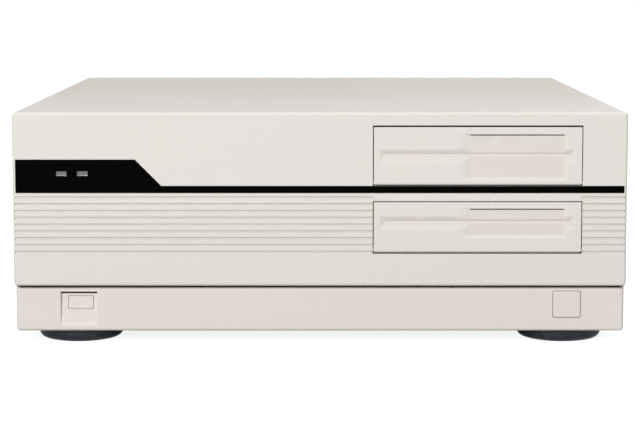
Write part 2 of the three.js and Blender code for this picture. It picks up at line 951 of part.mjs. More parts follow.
function door(doorHeight, slotDrop, leverDrop, leverHeight) {
  const face = -hingeInset;
  const width = around(0, bayWidth - 2 * doorGap);
  const low = -hingeInset;
  const high = doorHeight - 2 * doorGap - hingeInset;
  const slab = block(width, [face, face + doorThickness], [0, high]);
  const knuckle = rod("x", [0, 0], hingeInset, width, roundSides);
  const heel = block(width, [0, face + doorThickness], [low + runningGap, runningGap]);
  const pins = rod("x", [0, 0], pinRadius, grown(width, doorGap + pinLength), smallSides);
  const slot = slotCutter([width[0] + slotLeftInset, width[1] - slotRightInset], high - slotDrop, face);
  const leverEnd = width[1] - leverRightInset;
  const lever = leverCutter([leverEnd - leverWidth, leverEnd], high - leverDrop, leverHeight, face);
  return cut(join([slab, knuckle, heel, pins]), [slot, lever]);
}

function addDoor(name, [low], doorHeight, slotDrop, leverDrop, leverHeight) {
  const [y, z] = bayHinge(low);
  const body = door(doorHeight, slotDrop, leverDrop, leverHeight);
  piece(name, "frontPlastic", body, groupAt(bayMiddle, y, z));
}

// Lower valance and buttons

// The wedge that leaves a scoop in the face, deep at its top
function scoopCutter() {
  const spread = 1 + overrun / scoopDepth;
  const outline = [
    [valanceFront - overrun, scoopTop - scoopHeight * spread],
    [valanceFront + scoopDepth, scoopTop],
    [valanceFront - overrun, scoopTop],
  ];
  return prism("x", outline, scoop);
}

// The face of the scoop's floor at a height
function scoopFloor(z) {
  const fall = (scoopTop - z) / scoopHeight;
  return valanceFront + scoopDepth * (1 - fall);
}

function lowerValance() {
  const rim = cushionedSlab(
    grown([left, right], -valanceSideInset),
    [bottom - valanceLip, valanceTop],
    rimCorner,
    rimRadius,
    from(valanceFront, valanceRimDepth),
  );
  const length = [valanceFront + valanceRimDepth / 2, chassisFront - seatGap];
  const skirt = block([-innerSide, innerSide], length, [bottom, valanceTop]);
  const hollow = block(
    grown([-innerSide, innerSide], -valanceWall),
    [valanceFront + valanceWall, chassisFront],
    [bottom + valanceWall, valanceTop - valanceTopWall],
  );
  const backing = block(
    grown(scoop, valanceWall),
    from(valanceFront + valanceWall / 2, scoopDepth + valanceWall),
    [bottom + valanceWall / 2, valanceTop - valanceTopWall / 2],
  );
  const through = [valanceFront - overrun, valanceFront + scoopDepth + valanceWall + overrun];
  const powerHole = block(
    around(powerX, powerWidth + 2 * buttonGap),
    [valanceFront - overrun, valanceFront + capDepth + overrun],
    around(powerZ, powerHeight + 2 * buttonGap),
  );
  const resetHole = block(
    around(resetX, resetWidth + 2 * buttonGap),
    through,
    around(resetZ, resetHeight + 2 * buttonGap),
  );
  return cut(cut(rim.add(skirt), [hollow]).add(backing), [scoopCutter(), powerHole, resetHole]);
}

function powerButton() {
  const face = valanceFront - powerProud;
  const across = around(powerX, powerWidth);
  const cap = cushionedSlab(across, around(powerZ, powerHeight), powerCorner, capEdge, from(face, capDepth));
  const stem = from(face + capDepth / 2, capDepth / 2 + stemLength);
  return cap.add(rod("y", [powerX, powerZ], stemRadius, stem, smallSides));
}

function resetButton() {
  const across = around(resetX, resetWidth);
  const [low, high] = around(resetZ, resetHeight);
  const end = valanceFront + scoopDepth + resetDepth;
  const outline = [
    [scoopFloor(low) - resetProud, low],
    [end, low],
    [end, high],
    [scoopFloor(high) - resetProud, high],
  ];
  const stemEnd = chassisFront - seatGap - switchLength + switchBoreDepth / 2;
  const stem = rod("y", [resetX, resetZ], resetStemRadius, [end - resetDepth / 2, stemEnd], smallSides);
  return prism("x", outline, across).add(stem);
}

function keySwitch([x, z], width, boreRadius) {
  const end = chassisFront - seatGap;
  const body = block(around(x, width), [end - switchLength, end], around(z, width));
  const bore = from(end - switchLength - overrun, overrun + switchBoreDepth);
  return body.subtract(rod("y", [x, z], boreRadius + buttonGap, bore, smallSides));
}

// Feet

function foot() {
  const height = bottom - seatGap;
  return turned([
    [0, footRecessDepth],
    [footRecessRadius, footRecessDepth],
    [footRecessRadius, 0],
    [footRadius - footTaper - footEdge, 0],
    [footRadius - footTaper, footEdge],
    [footRadius, height - footEdge],
    [footRadius - footEdge, height],
    [0, height],
  ]);
}

function addFeet() {
  const rows = { front: front + footInsetY, rear: back - footInsetY };
  const columns = { left: left + footInsetX, right: right - footInsetX };
  for (const [row, y] of Object.entries(rows)) {
    for (const [column, x] of Object.entries(columns)) {
      piece(`foot_${row}_${column}`, "rubber", foot(), groupAt(x, y, 0));
    }
  }
}

// Drives

function driveCage() {
  const inner = driveWidth / 2 + seatGap;
  const outer = inner + sheet;
  const high = upperBay[1];
  const shelves = [driveBottom - seatGap, panTop + lowerShelfRise];
  const length = [plateBack + seatGap, boardFront - cageBoardGap];
  const walls = [-1, 1].flatMap((side) => {
    const wall = block(around(bayMiddle + side * (inner + sheet / 2), sheet), length, [standing, high]);
    const footX = bayMiddle + side * (outer + cageFoot / 2 - sheet);
    return [wall, block(around(footX, cageFoot), length, from(standing, sheet))];
  });
  const plates = shelves.map((z) => block(around(bayMiddle, 2 * outer), length, [z - sheet, z]));
  return join([...walls, ...plates]);
}

function opticalDrive() {
  const width = around(bayMiddle, driveWidth);
  const height = from(driveBottom, driveHeight);
  const body = block(width, from(driveFront, driveLength), height);
  const slit = [height[1] - traySlitDrop - traySlitHeight, height[1] - traySlitDrop];
  const trayPocket = block(
    around(bayMiddle, traySlitWidth + 2 * seatGap),
    [driveFront - overrun, driveFront + traySlitDepth],
    grown(slit, seatGap),
  );
  const ejectPocket = block(
    around(width[1] - ejectInset, ejectWidth + 2 * buttonGap),
    [driveFront - overrun, driveFront + ejectPocketDepth],
    around(driveBottom + ejectRise, ejectHeight + 2 * buttonGap),
  );
  return cut(body, [trayPocket, ejectPocket]);
}

function trayFront() {
  const high = driveBottom + driveHeight - traySlitDrop;
  const face = driveFront - trayFrontThickness / 2;
  return cushionedSlab(
    around(bayMiddle, traySlitWidth),
    [high - traySlitHeight, high],
    trayCorner,
    trayCorner / 2,
    [face, driveFront + traySlitDepth - seatGap],
  );
}

function ejectButton() {
  const x = bayMiddle + driveWidth / 2 - ejectInset;
  return cushionedSlab(
    around(x, ejectWidth),
    around(driveBottom + ejectRise, ejectHeight),
    trayCorner,
    trayCorner / 2,
    from(driveFront - ejectProud, ejectDepth),
  );
}

function hardDrive() {
  const low = panTop + lowerShelfRise + seatGap;
  const across = around(bayMiddle, diskWidth);
  const length = from(front + diskInset, diskLength);
  const body = cushionedSlab(across, from(low, diskHeight), diskCorner, diskCorner / 2, length);
  const high = low + diskHeight;
  const rim = block(
    grown(across, -diskCorner),
    grown(length, -diskCorner),
    [high - diskLidSeat, high + diskLidRise],
  );
  return body.add(rim);
}

// Front ports

function frontPortPlaces() {
  return { usb: [bayMiddle - usbPitch, bayMiddle], jack: bayMiddle + usbPitch };
}

function frontPortPanel() {
  const thickness = [portPanelFront, portPanelBack];
  const plate = block(grown(bay, -seatGap), thickness, grown(lowerBay, -seatGap));
  const through = grown(thickness, overrun);
  const places = frontPortPlaces();
  const rise = from(portBoardTop, usbHeight + 2 * seatGap);
  const usbHoles = places.usb.map((x) => block(around(x, usbWidth + 2 * seatGap), through, rise));
  const jackPlace = [places.jack, portBoardTop + seatGap + jackHeight / 2];
  const jackHole = rod("y", jackPlace, jackRadius + seatGap, through, roundSides / 2);
  const armTop = portBoardTop - boardThickness - seatGap;
  const arms = [-1, 1].map((side) => {
    const x = bayMiddle + (side * (portBoardWidth - portArmWidth)) / 2;
    const length = [portPanelBack - portPanelThickness / 2, portPanelBack + portBoardDepth];
    return block(around(x, portArmWidth), length, [armTop - portArmHeight, armTop]);
  });
  return cut(join([plate, ...arms]), [...usbHoles, jackHole]);
}

function frontPortBoard() {
  const rise = [portBoardTop - boardThickness, portBoardTop];
  return block(around(bayMiddle, portBoardWidth), from(portPanelBack + seatGap, portBoardDepth), rise);
}

// A pocket with a contact tongue standing in it
function usbPocket([x, z], face, depth) {
  const pocket = block(
    around(x, usbOpeningWidth),
    [face - overrun, face + depth],
    around(z, usbOpeningHeight),
  );
  const tongue = block(
    around(x, usbTongueWidth),
    [face + usbWall, face + depth + usbWall],
    from(z, usbTongueHeight),
  );
  return pocket.subtract(tongue);
}

function frontUsbPort(x) {
  const face = portPanelFront - portProud;
  const low = portBoardTop + seatGap;
  const shell = block(around(x, usbWidth), from(face, usbLength), from(low, usbHeight));
  return shell.subtract(usbPocket([x, low + usbHeight / 2], face, usbLength - 2 * usbWall));
}

function headsetJack() {
  const { jack } = frontPortPlaces();
  const face = portPanelFront - portProud;
  const low = portBoardTop + seatGap;
  const place = [jack, low + jackHeight / 2];
  const behind = portPanelBack + seatGap;
  const body = block(around(jack, jackWidth), [behind, face + usbLength], from(low, jackHeight));
  const collar = rod("y", place, jackRadius, [face, behind + seatGap], roundSides / 2);
  const bore = rod("y", place, jackBore, [face - overrun, face + usbLength - usbWall], smallSides);
  return body.add(collar).subtract(bore);
}

// Motherboard

function onBoard(x, y, [width, depth], height) {
  return block(around(x, width), around(y, depth), [boardTop - boardThickness / 2, boardTop + height]);
}

function memoryPlaces() {
  return [0, 1].map((i) => boardBack - memoryInsetY + i * memoryPitch);
}

function motherboard() {
  const plate = block([boardLeft, boardRight], [boardFront, boardBack], [boardBottom, boardTop]);
  const memoryX = boardRight - memoryInsetX;
  const memorySlots = memoryPlaces().flatMap((y) => {
    const size = [memoryLength + 2 * memorySlotWidth, memorySlotWidth];
    const groove = block(
      around(memoryX, memoryLength + 2 * seatGap),
      around(y, memoryThickness + 2 * seatGap),
      [boardTop + memorySlotHeight - memoryGrip, boardTop + memorySlotHeight + overrun],
    );
    return [onBoard(memoryX, y, size, memorySlotHeight).subtract(groove)];
  });
  const cardY = boardBack - cardSlotInset - cardSlotLength / 2;
  const cards = slotPlaces().map((x) =>
    onBoard(x, cardY, [cardSlotWidth, cardSlotLength], cardSlotHeight),
  );
  const capacitors = Array.from({ length: capacitorCount }, (_, i) => {
    const x = socketX + (i - (capacitorCount - 1) / 2) * capacitorPitch;
    const height = [boardTop - boardThickness / 2, boardTop + capacitorHeight];
    return rod("z", [x, boardBack - capacitorInsetY], capacitorRadius, height, smallSides);
  });
  const plug = onBoard(
    boardRight - plugInsetX,
    boardBack - plugInsetY,
    [plugWidth, plugDepth],
    plugHeight,
  );
  return join([
    plate,
    onBoard(socketX, socketY, [socketSize, socketSize], socketHeight),
    onBoard(boardLeft + chipInsetX, boardBack - chipInsetY, [chipSize, chipSize], chipHeight),
    plug,
    ...memorySlots,
    ...cards,
    ...capacitors,
  ]);
}

function memoryModule(y) {
  const x = boardRight - memoryInsetX;
  const low = boardTop + memorySlotHeight - memoryGrip + seatGap;
  const card = block(around(x, memoryLength), around(y, memoryThickness), from(low, memoryHeight));
  const chips = block(
    around(x, memoryLength - 2 * memorySlotWidth),
    around(y, 2 * memoryThickness),
    [low + memoryHeight / 3, low + memoryHeight - memoryThickness],
  );
  return card.add(chips);
}

function heatsink() {
  const pitch = (sinkSize - finThickness) / (finCount - 1);
  const base = block(around(socketX, sinkSize), around(socketY, sinkSize), from(sinkBottom, sinkBase));
  const fins = Array.from({ length: finCount }, (_, i) => {
    const x = socketX - sinkSize / 2 + finThickness / 2 + i * pitch;
    const rise = [sinkBottom + sinkBase / 2, sinkBottom + sinkHeight];
    return block(around(x, finThickness), around(socketY, sinkSize), rise);
  });
  return join([base, ...fins]);
}

// Fans, drawn about the middle of their near face and blowing along +z

function fanFrame() {
  const ring = rod("z", [0, 0], fanRing, [fanFlange / 2, fanDepth - fanFlange / 2]);
  const bore = rod("z", [0, 0], fanBore, grown([0, fanDepth], overrun));
  const flanges = [0, fanDepth - fanFlange].map((start) => {
    const side = around(0, fanSize);
    const rings = from(start, fanFlange).map((height) => roundedRing(side, side, fanCorner, height));
    return solid(loft(rings));
  });
  const disc = [fanDepth - fanHubDisc, fanDepth];
  const hub = rod("z", [0, 0], fanHub, disc);
  const pin = rod("z", [0, 0], fanPin, [fanDepth - fanHubDisc - rotorDepth / 2, fanDepth], smallSides);
  const reach = around(0, 2 * fanBore + fanRing - fanBore);
  const struts = [
    block(reach, around(0, fanStrut), disc),
    block(around(0, fanStrut), reach, disc),
  ];
  return join([join([ring, ...flanges]).subtract(bore), hub, pin, ...struts]);
}

// A blade's section at a radius: a thin arched strip, leaning further the nearer it is to the hub
function bladeSection(radius, lean) {
  const depth = bladeDepth;
  const across = bladeSweep * lean;
  const under = [];
  const over = [];
  for (let step = 0; step <= bladeSteps; step++) {
    const share = step / bladeSteps;
    const bow = bladeCamber * 4 * share * (1 - share);
    const x = (share - half) * across - bow;
    const z = share * depth;
    under.push([x - bladeThickness / 2, -radius, z]);
    over.push([x + bladeThickness / 2, -radius, z]);
  }
  return { under, over };
}

function blade() {
  const root = bladeSection(fanHub - bladeRoot, bladeRootShare);
  const tip = bladeSection(bladeReach, 1);
  const strips = [];
  for (let step = 0; step < bladeSteps; step++) {
    const corners = [root, tip].flatMap(({ under, over }) => [
      under[step],
      under[step + 1],
      over[step],
      over[step + 1],
    ]);
    strips.push(hull(corners));
  }
  return join(strips);
}

function fanRotor() {
  const start = fanDepth - fanHubDisc - runningGap - rotorDepth;
  const hub = rod("z", [0, 0], fanHub, from(start, rotorDepth));
  const lift = start + (rotorDepth - bladeDepth) / 2;
  const wing = blade().translate(0, 0, lift);
  const blades = Array.from({ length: bladeCount }, (_, i) =>
    wing.rotate([0, 0, (i * turnDegrees) / bladeCount]),
  );
  const boreStart = fanDepth - fanHubDisc - rotorDepth / 2 - runningGap;
  const bore = rod("z", [0, 0], fanPin + runningGap, [boreStart, fanDepth], smallSides);
  return join([hub, ...blades]).subtract(bore);
}

function addFan(frameName, rotorName, group, size = fanSize) {
  const scale = size / fanSize;
  group.scale.set(scale, scale, 1);
  piece(frameName, "darkPlastic", fanFrame(), group);
  piece(rotorName, "darkPlastic", fanRotor(), group);
}

function addFans() {
  rearFanPlaces().forEach(([x, z], i) => {
    const group = groupAt(x, rearInner - seatGap - fanDepth, z);
    group.rotation.x = -quarterTurn;
    addFan(`rear_fan_frame_${i + 1}`, `rear_fan_rotor_${i + 1}`, group);
  });
  const supply = groupAt(...psuFanPlace());
  supply.rotation.x = -quarterTurn;
  addFan("psu_fan_frame", "psu_fan_rotor", supply, psuFanSize);
  const cooler = groupAt(socketX, socketY, sinkBottom + sinkHeight + seatGap + fanDepth);
  cooler.rotation.x = Math.PI;
  addFan("cpu_fan_frame", "cpu_fan_rotor", cooler);
}

// Rear connectors, side by side from the end of the shield that is next to the power supply

function rearPorts() {
  const kinds = [
    { name: "rear_usb_ports", width: rearUsbWidth, height: rearUsbHeight },
    { name: "network_port", width: networkWidth, height: networkHeight },
    { name: "display_port", width: displayWidth, height: displayHeight },
    { name: "audio_jacks", width: audioWidth, height: audioHeight },
  ];
  let edge = shield[1] - portSideInset;
  return kinds.map((kind) => {
    const x = edge - kind.width / 2;
    edge -= kind.width + portSpacing;
    return { ...kind, x };
  });
}

function ioShield() {
  const thickness = [rearFace - shieldThickness, rearFace];
  const plate = block(shield, thickness, from(shieldBottom, shieldHeight));
  const holes = rearPorts().map(({ x, width, height }) => {
    const rise = [boardTop, boardTop + height + 2 * seatGap];
    return block(around(x, width + 2 * seatGap), grown(thickness, overrun), rise);
  });
  return cut(plate, holes);
}

const portCutters = {
  rear_usb_ports(x, low, face) {
    return [-1, 1].flatMap((side) =>
      [-1, 1].map((row) => {
        const place = [x + (side * rearUsbWidth) / 4, low + rearUsbHeight / 2 + (row * rearUsbHeight) / 4];
        const depth = [face - usbOpeningDepth, face + overrun];
        const pocket = block(around(place[0], usbOpeningWidth), depth, around(place[1], usbOpeningHeight));
        const tongue = block(
          around(place[0], usbTongueWidth),
          [face - usbOpeningDepth - usbWall, face - usbWall],
          from(place[1], usbTongueHeight),
        );
        return pocket.subtract(tongue);
      }),
    );
  },
  network_port(x, low, face) {
    const depth = [face - networkOpeningDepth, face + overrun];
    const rise = around(low + networkHeight / 2, networkOpeningHeight);
    return [block(around(x, networkOpeningWidth), depth, rise)];
  },
  display_port(x, low, face) {
    const depth = [face - usbOpeningDepth, face + overrun];
    const rise = around(low + displayHeight / 2, displayOpeningHeight);
    return [block(around(x, displayOpeningWidth), depth, rise)];
  },
  audio_jacks(x, low, face) {
    const depth = [face - networkOpeningDepth, face + overrun];
    return [-1, 0, 1].map((i) =>
      rod("y", [x + i * audioPitch, low + audioHeight / 2], jackBore, depth, smallSides),
    );
  },
};

function addRearPorts() {
  for (const { name, width, height, x } of rearPorts()) {
    const face = rearFace + rearPortProud;
    const low = boardTop + seatGap;
    const body = block(around(x, width), [face - portLength, face], from(low, height));
    const finish = name === "audio_jacks" ? "darkPlastic" : "bareSteel";
    piece(name, finish, cut(body, portCutters[name](x, low, face)));
  }
}

// Power supply

function psuFanPlace() {
  const y = psuBack - psuSheet - seatGap - fanDepth;
  return [psuLeft + psuFanSide + psuFanSize / 2, y, psuBottom + psuHeight / 2];
}

function inletPlace() {
  return [psuRight - psuSideInset, psuBottom + inletRise];
}

function rockerPlace() {
  return [psuRight - psuSideInset, psuBottom + psuHeight - rockerDrop];
}

function psuBoardPlaces() {
  const xs = [psuLeft + 2 * psuBoardInset, psuRight - 2 * psuBoardInset];
  const ys = [psuFront + 2 * psuBoardInset, psuBack - fanDepth - 4 * psuBoardInset];
  return xs.flatMap((x) => ys.map((y) => [x, y]));
}

function psuTray() {
  const side = grown([psuLeft, psuRight], -psuSheet - seatGap);
  const high = psuBottom + psuHeight - psuSheet - seatGap;
  const floor = block(side, [psuFront, psuBack], from(psuBottom, psuSheet));
  const rear = block(side, [psuBack - psuSheet, psuBack], [psuBottom, high]);
  const face = block(side, from(psuFront, psuSheet), [psuBottom, high]);
  const bosses = psuBoardPlaces().map((place) =>
    rod("z", place, psuBossRadius, [psuBottom + psuSheet / 2, psuBottom + psuBoardRise], smallSides),
  );
  const through = grown([psuBack - psuSheet, psuBack], overrun);
  const [fanX, , fanZ] = psuFanPlace();
  const [inletX, inletZ] = inletPlace();
  const [rockerX, rockerZ] = rockerPlace();
  const inletHole = block(
    around(inletX, inletWidth + 2 * seatGap),
    through,
    around(inletZ, inletHeight + 2 * seatGap),
  );
  const rockerSize = 2 * (rockerRadius + runningGap + rockerShell + seatGap);
  const rockerAcross = rockerWidth + 2 * (runningGap + rockerShell + seatGap);
  const rockerHole = block(around(rockerX, rockerAcross), through, around(rockerZ, rockerSize));
  return cut(join([floor, rear, face, ...bosses]), [
    inletHole,
    rockerHole,
    ...grilleCutters([fanX, fanZ], through, psuFanSize),
  ]);
}

function psuLid() {
  const high = psuBottom + psuHeight;
  const length = [psuFront, psuBack];
  const sides = [psuLeft, psuRight];
  const shell = block(sides, length, [psuBottom, high]);
  const room = [psuBottom - overrun, high - psuSheet];
  const inside = block(grown(sides, -psuSheet), grown(length, overrun), room);
  return shell.subtract(inside);
}

function psuBoard() {
  const rise = from(psuBottom + psuBoardRise + seatGap, boardThickness);
  const across = grown([psuLeft, psuRight], -psuBoardInset);
  const length = [psuFront + psuBoardInset, psuBack - fanDepth - 3 * psuBoardInset];
  const plate = block(across, length, rise);
  const low = rise[1] - boardThickness / 2;
  const centre = [middle(across), middle(length)];
  const coil = block(around(centre[0], coilSize), around(centre[1], coilSize), from(low, coilHeight));
  const coolers = [-1, 1].map((side) => {
    const x = middle(across) + side * coilSize;
    return block(around(x, coolerThickness), around(middle(length), coolerLength), from(low, coolerHeight));
  });
  return join([plate, coil, ...coolers]);
}

function mainsInlet() {
  const [x, z] = inletPlace();
  const face = psuBack + seatGap + inletFlangeDepth;
  const body = block(around(x, inletWidth), [face - inletLength, face], around(z, inletHeight));
  const flange = block(
    around(x, inletWidth + 2 * inletFlange),
    [face - inletFlangeDepth, face],
    around(z, inletHeight + 2 * inletFlange),
  );
  const [x0, x1] = around(x, inletRecessWidth);
  const [z0, z1] = around(z, inletRecessHeight);
  const recess = prism(
    "y",
    [
      [x0, z0],
      [x1, z0],
      [x1, z1 - inletCorner],
      [x1 - inletCorner, z1],
      [x0 + inletCorner, z1],
      [x0, z1 - inletCorner],
    ],
    [face - inletRecessDepth, face + overrun],
  );
  const floor = face - inletRecessDepth;
  const pins = [-1, 0, 1].map((i) => {
    const lift = i === 0 ? bladePinLift : -bladePinLift / 2;
    const across = around(x + i * bladePinPitch, bladePinWidth);
    return block(across, [floor - usbWall, floor + bladePinLength], around(z + lift, bladePinHeight));
  });
  return join([cut(join([body, flange]), [recess]), ...pins]);
}

function psuSwitch() {
  const [x, z] = rockerPlace();
  const face = psuBack + seatGap + inletFlangeDepth;
  const halfHeight = rockerRadius + runningGap;
  const across = rockerWidth + 2 * runningGap;
  const body = block(
    around(x, across + 2 * rockerShell),
    [face - rockerBodyDepth, face],
    around(z, 2 * (halfHeight + rockerShell)),
  );
  const flange = block(
    around(x, across + 4 * rockerShell),
    [face - inletFlangeDepth, face],
    around(z, 2 * (halfHeight + 2 * rockerShell)),
  );
  const pocketDepth = rockerPivotDepth + rockerRadius + runningGap;
  const pocket = block(around(x, across), [face - pocketDepth, face + overrun], around(z, 2 * halfHeight));
  const pinHole = rod(
    "x",
    [face - rockerPivotDepth, z],
    rockerPin + runningGap,
    around(x, across + 2 * rockerPinLength),
    smallSides,
  );
  return cut(body.add(flange), [pocket, pinHole]);
}

// The rocker, about its pivot: a round heel, and a face dished to a shallow V, pressed in at one end
function rocker() {
  const shape = new THREE.Shape();
  const reach = rockerRadius * Math.cos(Math.asin(rockerPivotDepth / rockerRadius));
  shape.moveTo(rockerPivotDepth, -reach);
  shape.lineTo(rockerPivotDepth - rockerDish, 0);
  shape.lineTo(rockerPivotDepth, reach);
  const start = Math.atan2(reach, rockerPivotDepth);
  shape.absarc(0, 0, rockerRadius, start, fullTurn - start, false);
  shape.closePath();
  const body = prism("x", shape, around(0, rockerWidth));
  const pins = rod("x", [0, 0], rockerPin, around(0, rockerWidth + 2 * rockerPinLength), smallSides);
  return body.add(pins);
}

function addRocker() {
  const [x, z] = rockerPlace();
  const group = groupAt(x, psuBack + seatGap + inletFlangeDepth - rockerPivotDepth, z);
  group.rotation.x = -rockerTurn;
  piece("psu_rocker", "darkPlastic", rocker(), group);
}

// The sleeved lead from the supply's front wall over to the plug on the motherboard
function powerCable() {
  const plugX = boardRight - plugInsetX;
  const plugY = boardBack - plugInsetY;
  const startX = psuLeft + cableInset;
  const startZ = psuBottom + cableRise;
  const endZ = boardTop + plugHeight + seatGap;
  const straight = 2 * cableRadius;
  const middleX = (plugX + startX) / 2;
  const points = [
    [startX, psuFront - seatGap, startZ],
    [startX, psuFront - seatGap - straight, startZ],
    [middleX, (psuFront + plugY) / 2, startZ + straight / 2],
    [plugX, plugY + straight / 2, endZ + 2 * straight],
    [plugX, plugY, endZ + straight],
    [plugX, plugY, endZ],
  ];
  const route = new THREE.CatmullRomCurve3(points.map((point) => new THREE.Vector3(...point)));
  const section = new THREE.Shape();
  for (let side = 0; side < cableSides; side++) {
    const angle = (side * fullTurn) / cableSides;
    const place = [cableRadius * Math.cos(angle), cableRadius * Math.sin(angle)];
    if (side === 0) section.moveTo(...place);
    else section.lineTo(...place);
  }
  section.closePath();
  const settings = { steps: cableSteps, extrudePath: route, bevelEnabled: false };
  return solid(new THREE.ExtrudeGeometry(section, settings));
}

// The whole computer, piece by piece
piece("base_pan", "bareSteel", basePan());
piece("front_plate", "bareSteel", frontPlate());
piece("rear_panel", "bareSteel", rearPanel());
piece("top_cover", "paintedSteel", topCover());
screwPlaces().forEach(([x, z], i) => {
  piece(`cover_screw_${i + 1}`, "bareSteel", coverScrew(), groupAt(x, 0, z));
});
slotPlaces().forEach((x, i) => piece(`slot_cover_${i + 1}`, "bareSteel", slotCover(x)));
piece("front_fascia", "frontPlastic", frontFascia());
piece("stripe_inlay", "blackPlastic", stripeInlay());
piece("power_lamp", "clearPlastic", lampPipe(lampPlaces()[0]));
piece("drive_lamp", "clearPlastic", lampPipe(lampPlaces()[1]));
piece("lamp_board", "board", lampBoard());
addDoor("upper_door", upperBay, upperDoorHeight, upperSlotDrop, upperLeverDrop, upperLeverHeight);
addDoor("lower_door", lowerBay, lowerDoorHeight, lowerSlotDrop, lowerLeverDrop, lowerLeverHeight);
piece("lower_valance", "bandPlastic", lowerValance());
piece("power_button", "bandPlastic", powerButton());
piece("reset_button", "bandPlastic", resetButton());
piece("power_switch", "darkPlastic", keySwitch([powerX, powerZ], switchWidth, stemRadius));
piece("reset_switch", "darkPlastic", keySwitch([resetX, resetZ], resetSwitchWidth, resetStemRadius));
addFeet();
piece("drive_cage", "bareSteel", driveCage());
piece("optical_drive", "darkPlastic", opticalDrive());
piece("optical_tray_front", "darkPlastic", trayFront());
piece("eject_button", "darkPlastic", ejectButton());
piece("hard_drive", "aluminium", hardDrive());
piece("front_port_panel", "darkPlastic", frontPortPanel());
piece("front_port_board", "board", frontPortBoard());
frontPortPlaces().usb.forEach((x, i) => piece(`front_usb_port_${i + 1}`, "bareSteel", frontUsbPort(x)));
piece("headset_jack", "darkPlastic", headsetJack());
piece("motherboard", "board", motherboard());
memoryPlaces().forEach((y, i) => piece(`memory_module_${i + 1}`, "board", memoryModule(y)));
piece("cpu_heatsink", "aluminium", heatsink());
addFans();
piece("io_shield", "bareSteel", ioShield());
addRearPorts();
piece("psu_tray", "bareSteel", psuTray());
piece("psu_lid", "bareSteel", psuLid());
piece("psu_board", "board", psuBoard());
piece("mains_inlet", "darkPlastic", mainsInlet());
piece("psu_switch", "darkPlastic", psuSwitch());
addRocker();
piece("power_cable", "darkPlastic", powerCable());

export default computer;
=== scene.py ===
import logging
import math
from dataclasses import dataclass, field
from enum import Enum
from typing import Any, Callable, Sequence

import bpy
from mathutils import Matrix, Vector


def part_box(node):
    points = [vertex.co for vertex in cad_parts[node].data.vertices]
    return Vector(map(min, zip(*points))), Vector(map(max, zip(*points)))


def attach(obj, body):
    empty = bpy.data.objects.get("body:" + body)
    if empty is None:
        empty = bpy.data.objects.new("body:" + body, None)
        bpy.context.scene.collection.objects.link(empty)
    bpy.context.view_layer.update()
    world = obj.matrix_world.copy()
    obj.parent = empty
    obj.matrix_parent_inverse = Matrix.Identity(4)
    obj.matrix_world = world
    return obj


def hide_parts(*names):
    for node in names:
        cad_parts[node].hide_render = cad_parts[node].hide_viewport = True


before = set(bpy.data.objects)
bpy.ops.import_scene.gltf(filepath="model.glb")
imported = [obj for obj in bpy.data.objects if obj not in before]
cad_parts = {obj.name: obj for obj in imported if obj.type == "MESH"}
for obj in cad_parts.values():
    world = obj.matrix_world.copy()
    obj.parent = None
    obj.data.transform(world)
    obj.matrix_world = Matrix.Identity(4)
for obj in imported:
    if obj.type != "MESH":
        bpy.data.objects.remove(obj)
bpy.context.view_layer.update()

LOG = logging.getLogger("desktop_computer")
MM = 0.001
CLOSE = 0.02 * MM
MERGE_DISTANCE = 0.002 * MM
OVERRUN = 4 * MM
ALONG = 0.9
SMOOTH_ANGLE = math.radians(35)
FLAT_ANGLE = math.radians(0.5)
EASE_ANGLE = math.radians(28)
NORMAL_WEIGHT = 60
MIX_INPUTS = (6, 7)
MIX_RESULT = 2

COVER_SCREWS = ["cover_screw_1", "cover_screw_2"]
SLOT_COVERS = [f"slot_cover_{i}" for i in range(1, 5)]

Span = tuple[float, float]
Point = Sequence[float]
Test = Callable[[Vector, Vector], bool]
Colour = tuple[float, float, float]
Socket = bpy.types.NodeSocket


# Named choices and small helpers


class Element(Enum):
    """What an edit-mode operator acts on."""

    EDGE = "EDGE"
    FACE = "FACE"


class Axis(Enum):
    """The direction that a rod runs in, with the turn that brings a cylinder to it."""

    X = (0.0, math.pi / 2, 0.0)
    Y = (math.pi / 2, 0.0, 0.0)
    Z = (0.0, 0.0, 0.0)


class Body(Enum):
    """The bodies of the frame that pieces ride on."""

    CASE = "case"
    UPPER_DOOR = "upper_door"
    LOWER_DOOR = "lower_door"
    POWER_BUTTON = "power_button"
    RESET_BUTTON = "reset_button"
    EJECT_BUTTON = "eject_button"
    ROCKER = "psu_rocker"


def near(a: float, b: float) -> bool:
    """Whether two lengths are the same, within a small slack."""
    return abs(a - b) < CLOSE


def around(middle: float, size: float) -> Span:
    """The two ends of a length about its middle."""
    return middle - size / 2, middle + size / 2


def grown(span: Span, margin: float) -> Span:
    """A span with both its ends moved outwards by a margin."""
    return span[0] - margin, span[1] + margin


def middle_of(span: Span) -> float:
    """The middle of a span."""
    return (span[0] + span[1]) / 2


def runs(axis: str) -> Test:
    """A test for edges that run along x, y or z."""
    return lambda middle, way: abs(getattr(way, axis)) > ALONG


def at(axis: str, place: float) -> Test:
    """A test for edges whose middle lies at a place on x, y or z."""
    return lambda middle, way: near(getattr(middle, axis), place)


def both(first: Test, second: Test) -> Test:
    """A test for edges that pass two tests."""
    return lambda middle, way: first(middle, way) and second(middle, way)


def paint(value: Any) -> Any:
    """A colour with the fourth number that sockets want, or anything else as it is."""
    return (*value, 1) if isinstance(value, tuple) else value


def activate(obj: bpy.types.Object) -> None:
    """Make one object the only selected one, and the active one.

    Args:
        obj: The object.
    """
    bpy.ops.object.select_all(action="DESELECT")
    obj.select_set(True)
    bpy.context.view_layer.objects.active = obj


class NodeBox:
    """The box of a CAD node at rest: a span on each axis, and the middle."""

    def __init__(self, node: str) -> None:
        """Measure a node.

        Args:
            node: The name of the CAD node.
        """
        low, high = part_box(node)
        self.x: Span = (low.x, high.x)
        self.y: Span = (low.y, high.y)
        self.z: Span = (low.z, high.z)
        self.middle = (middle_of(self.x), middle_of(self.y), middle_of(self.z))


# Modelling


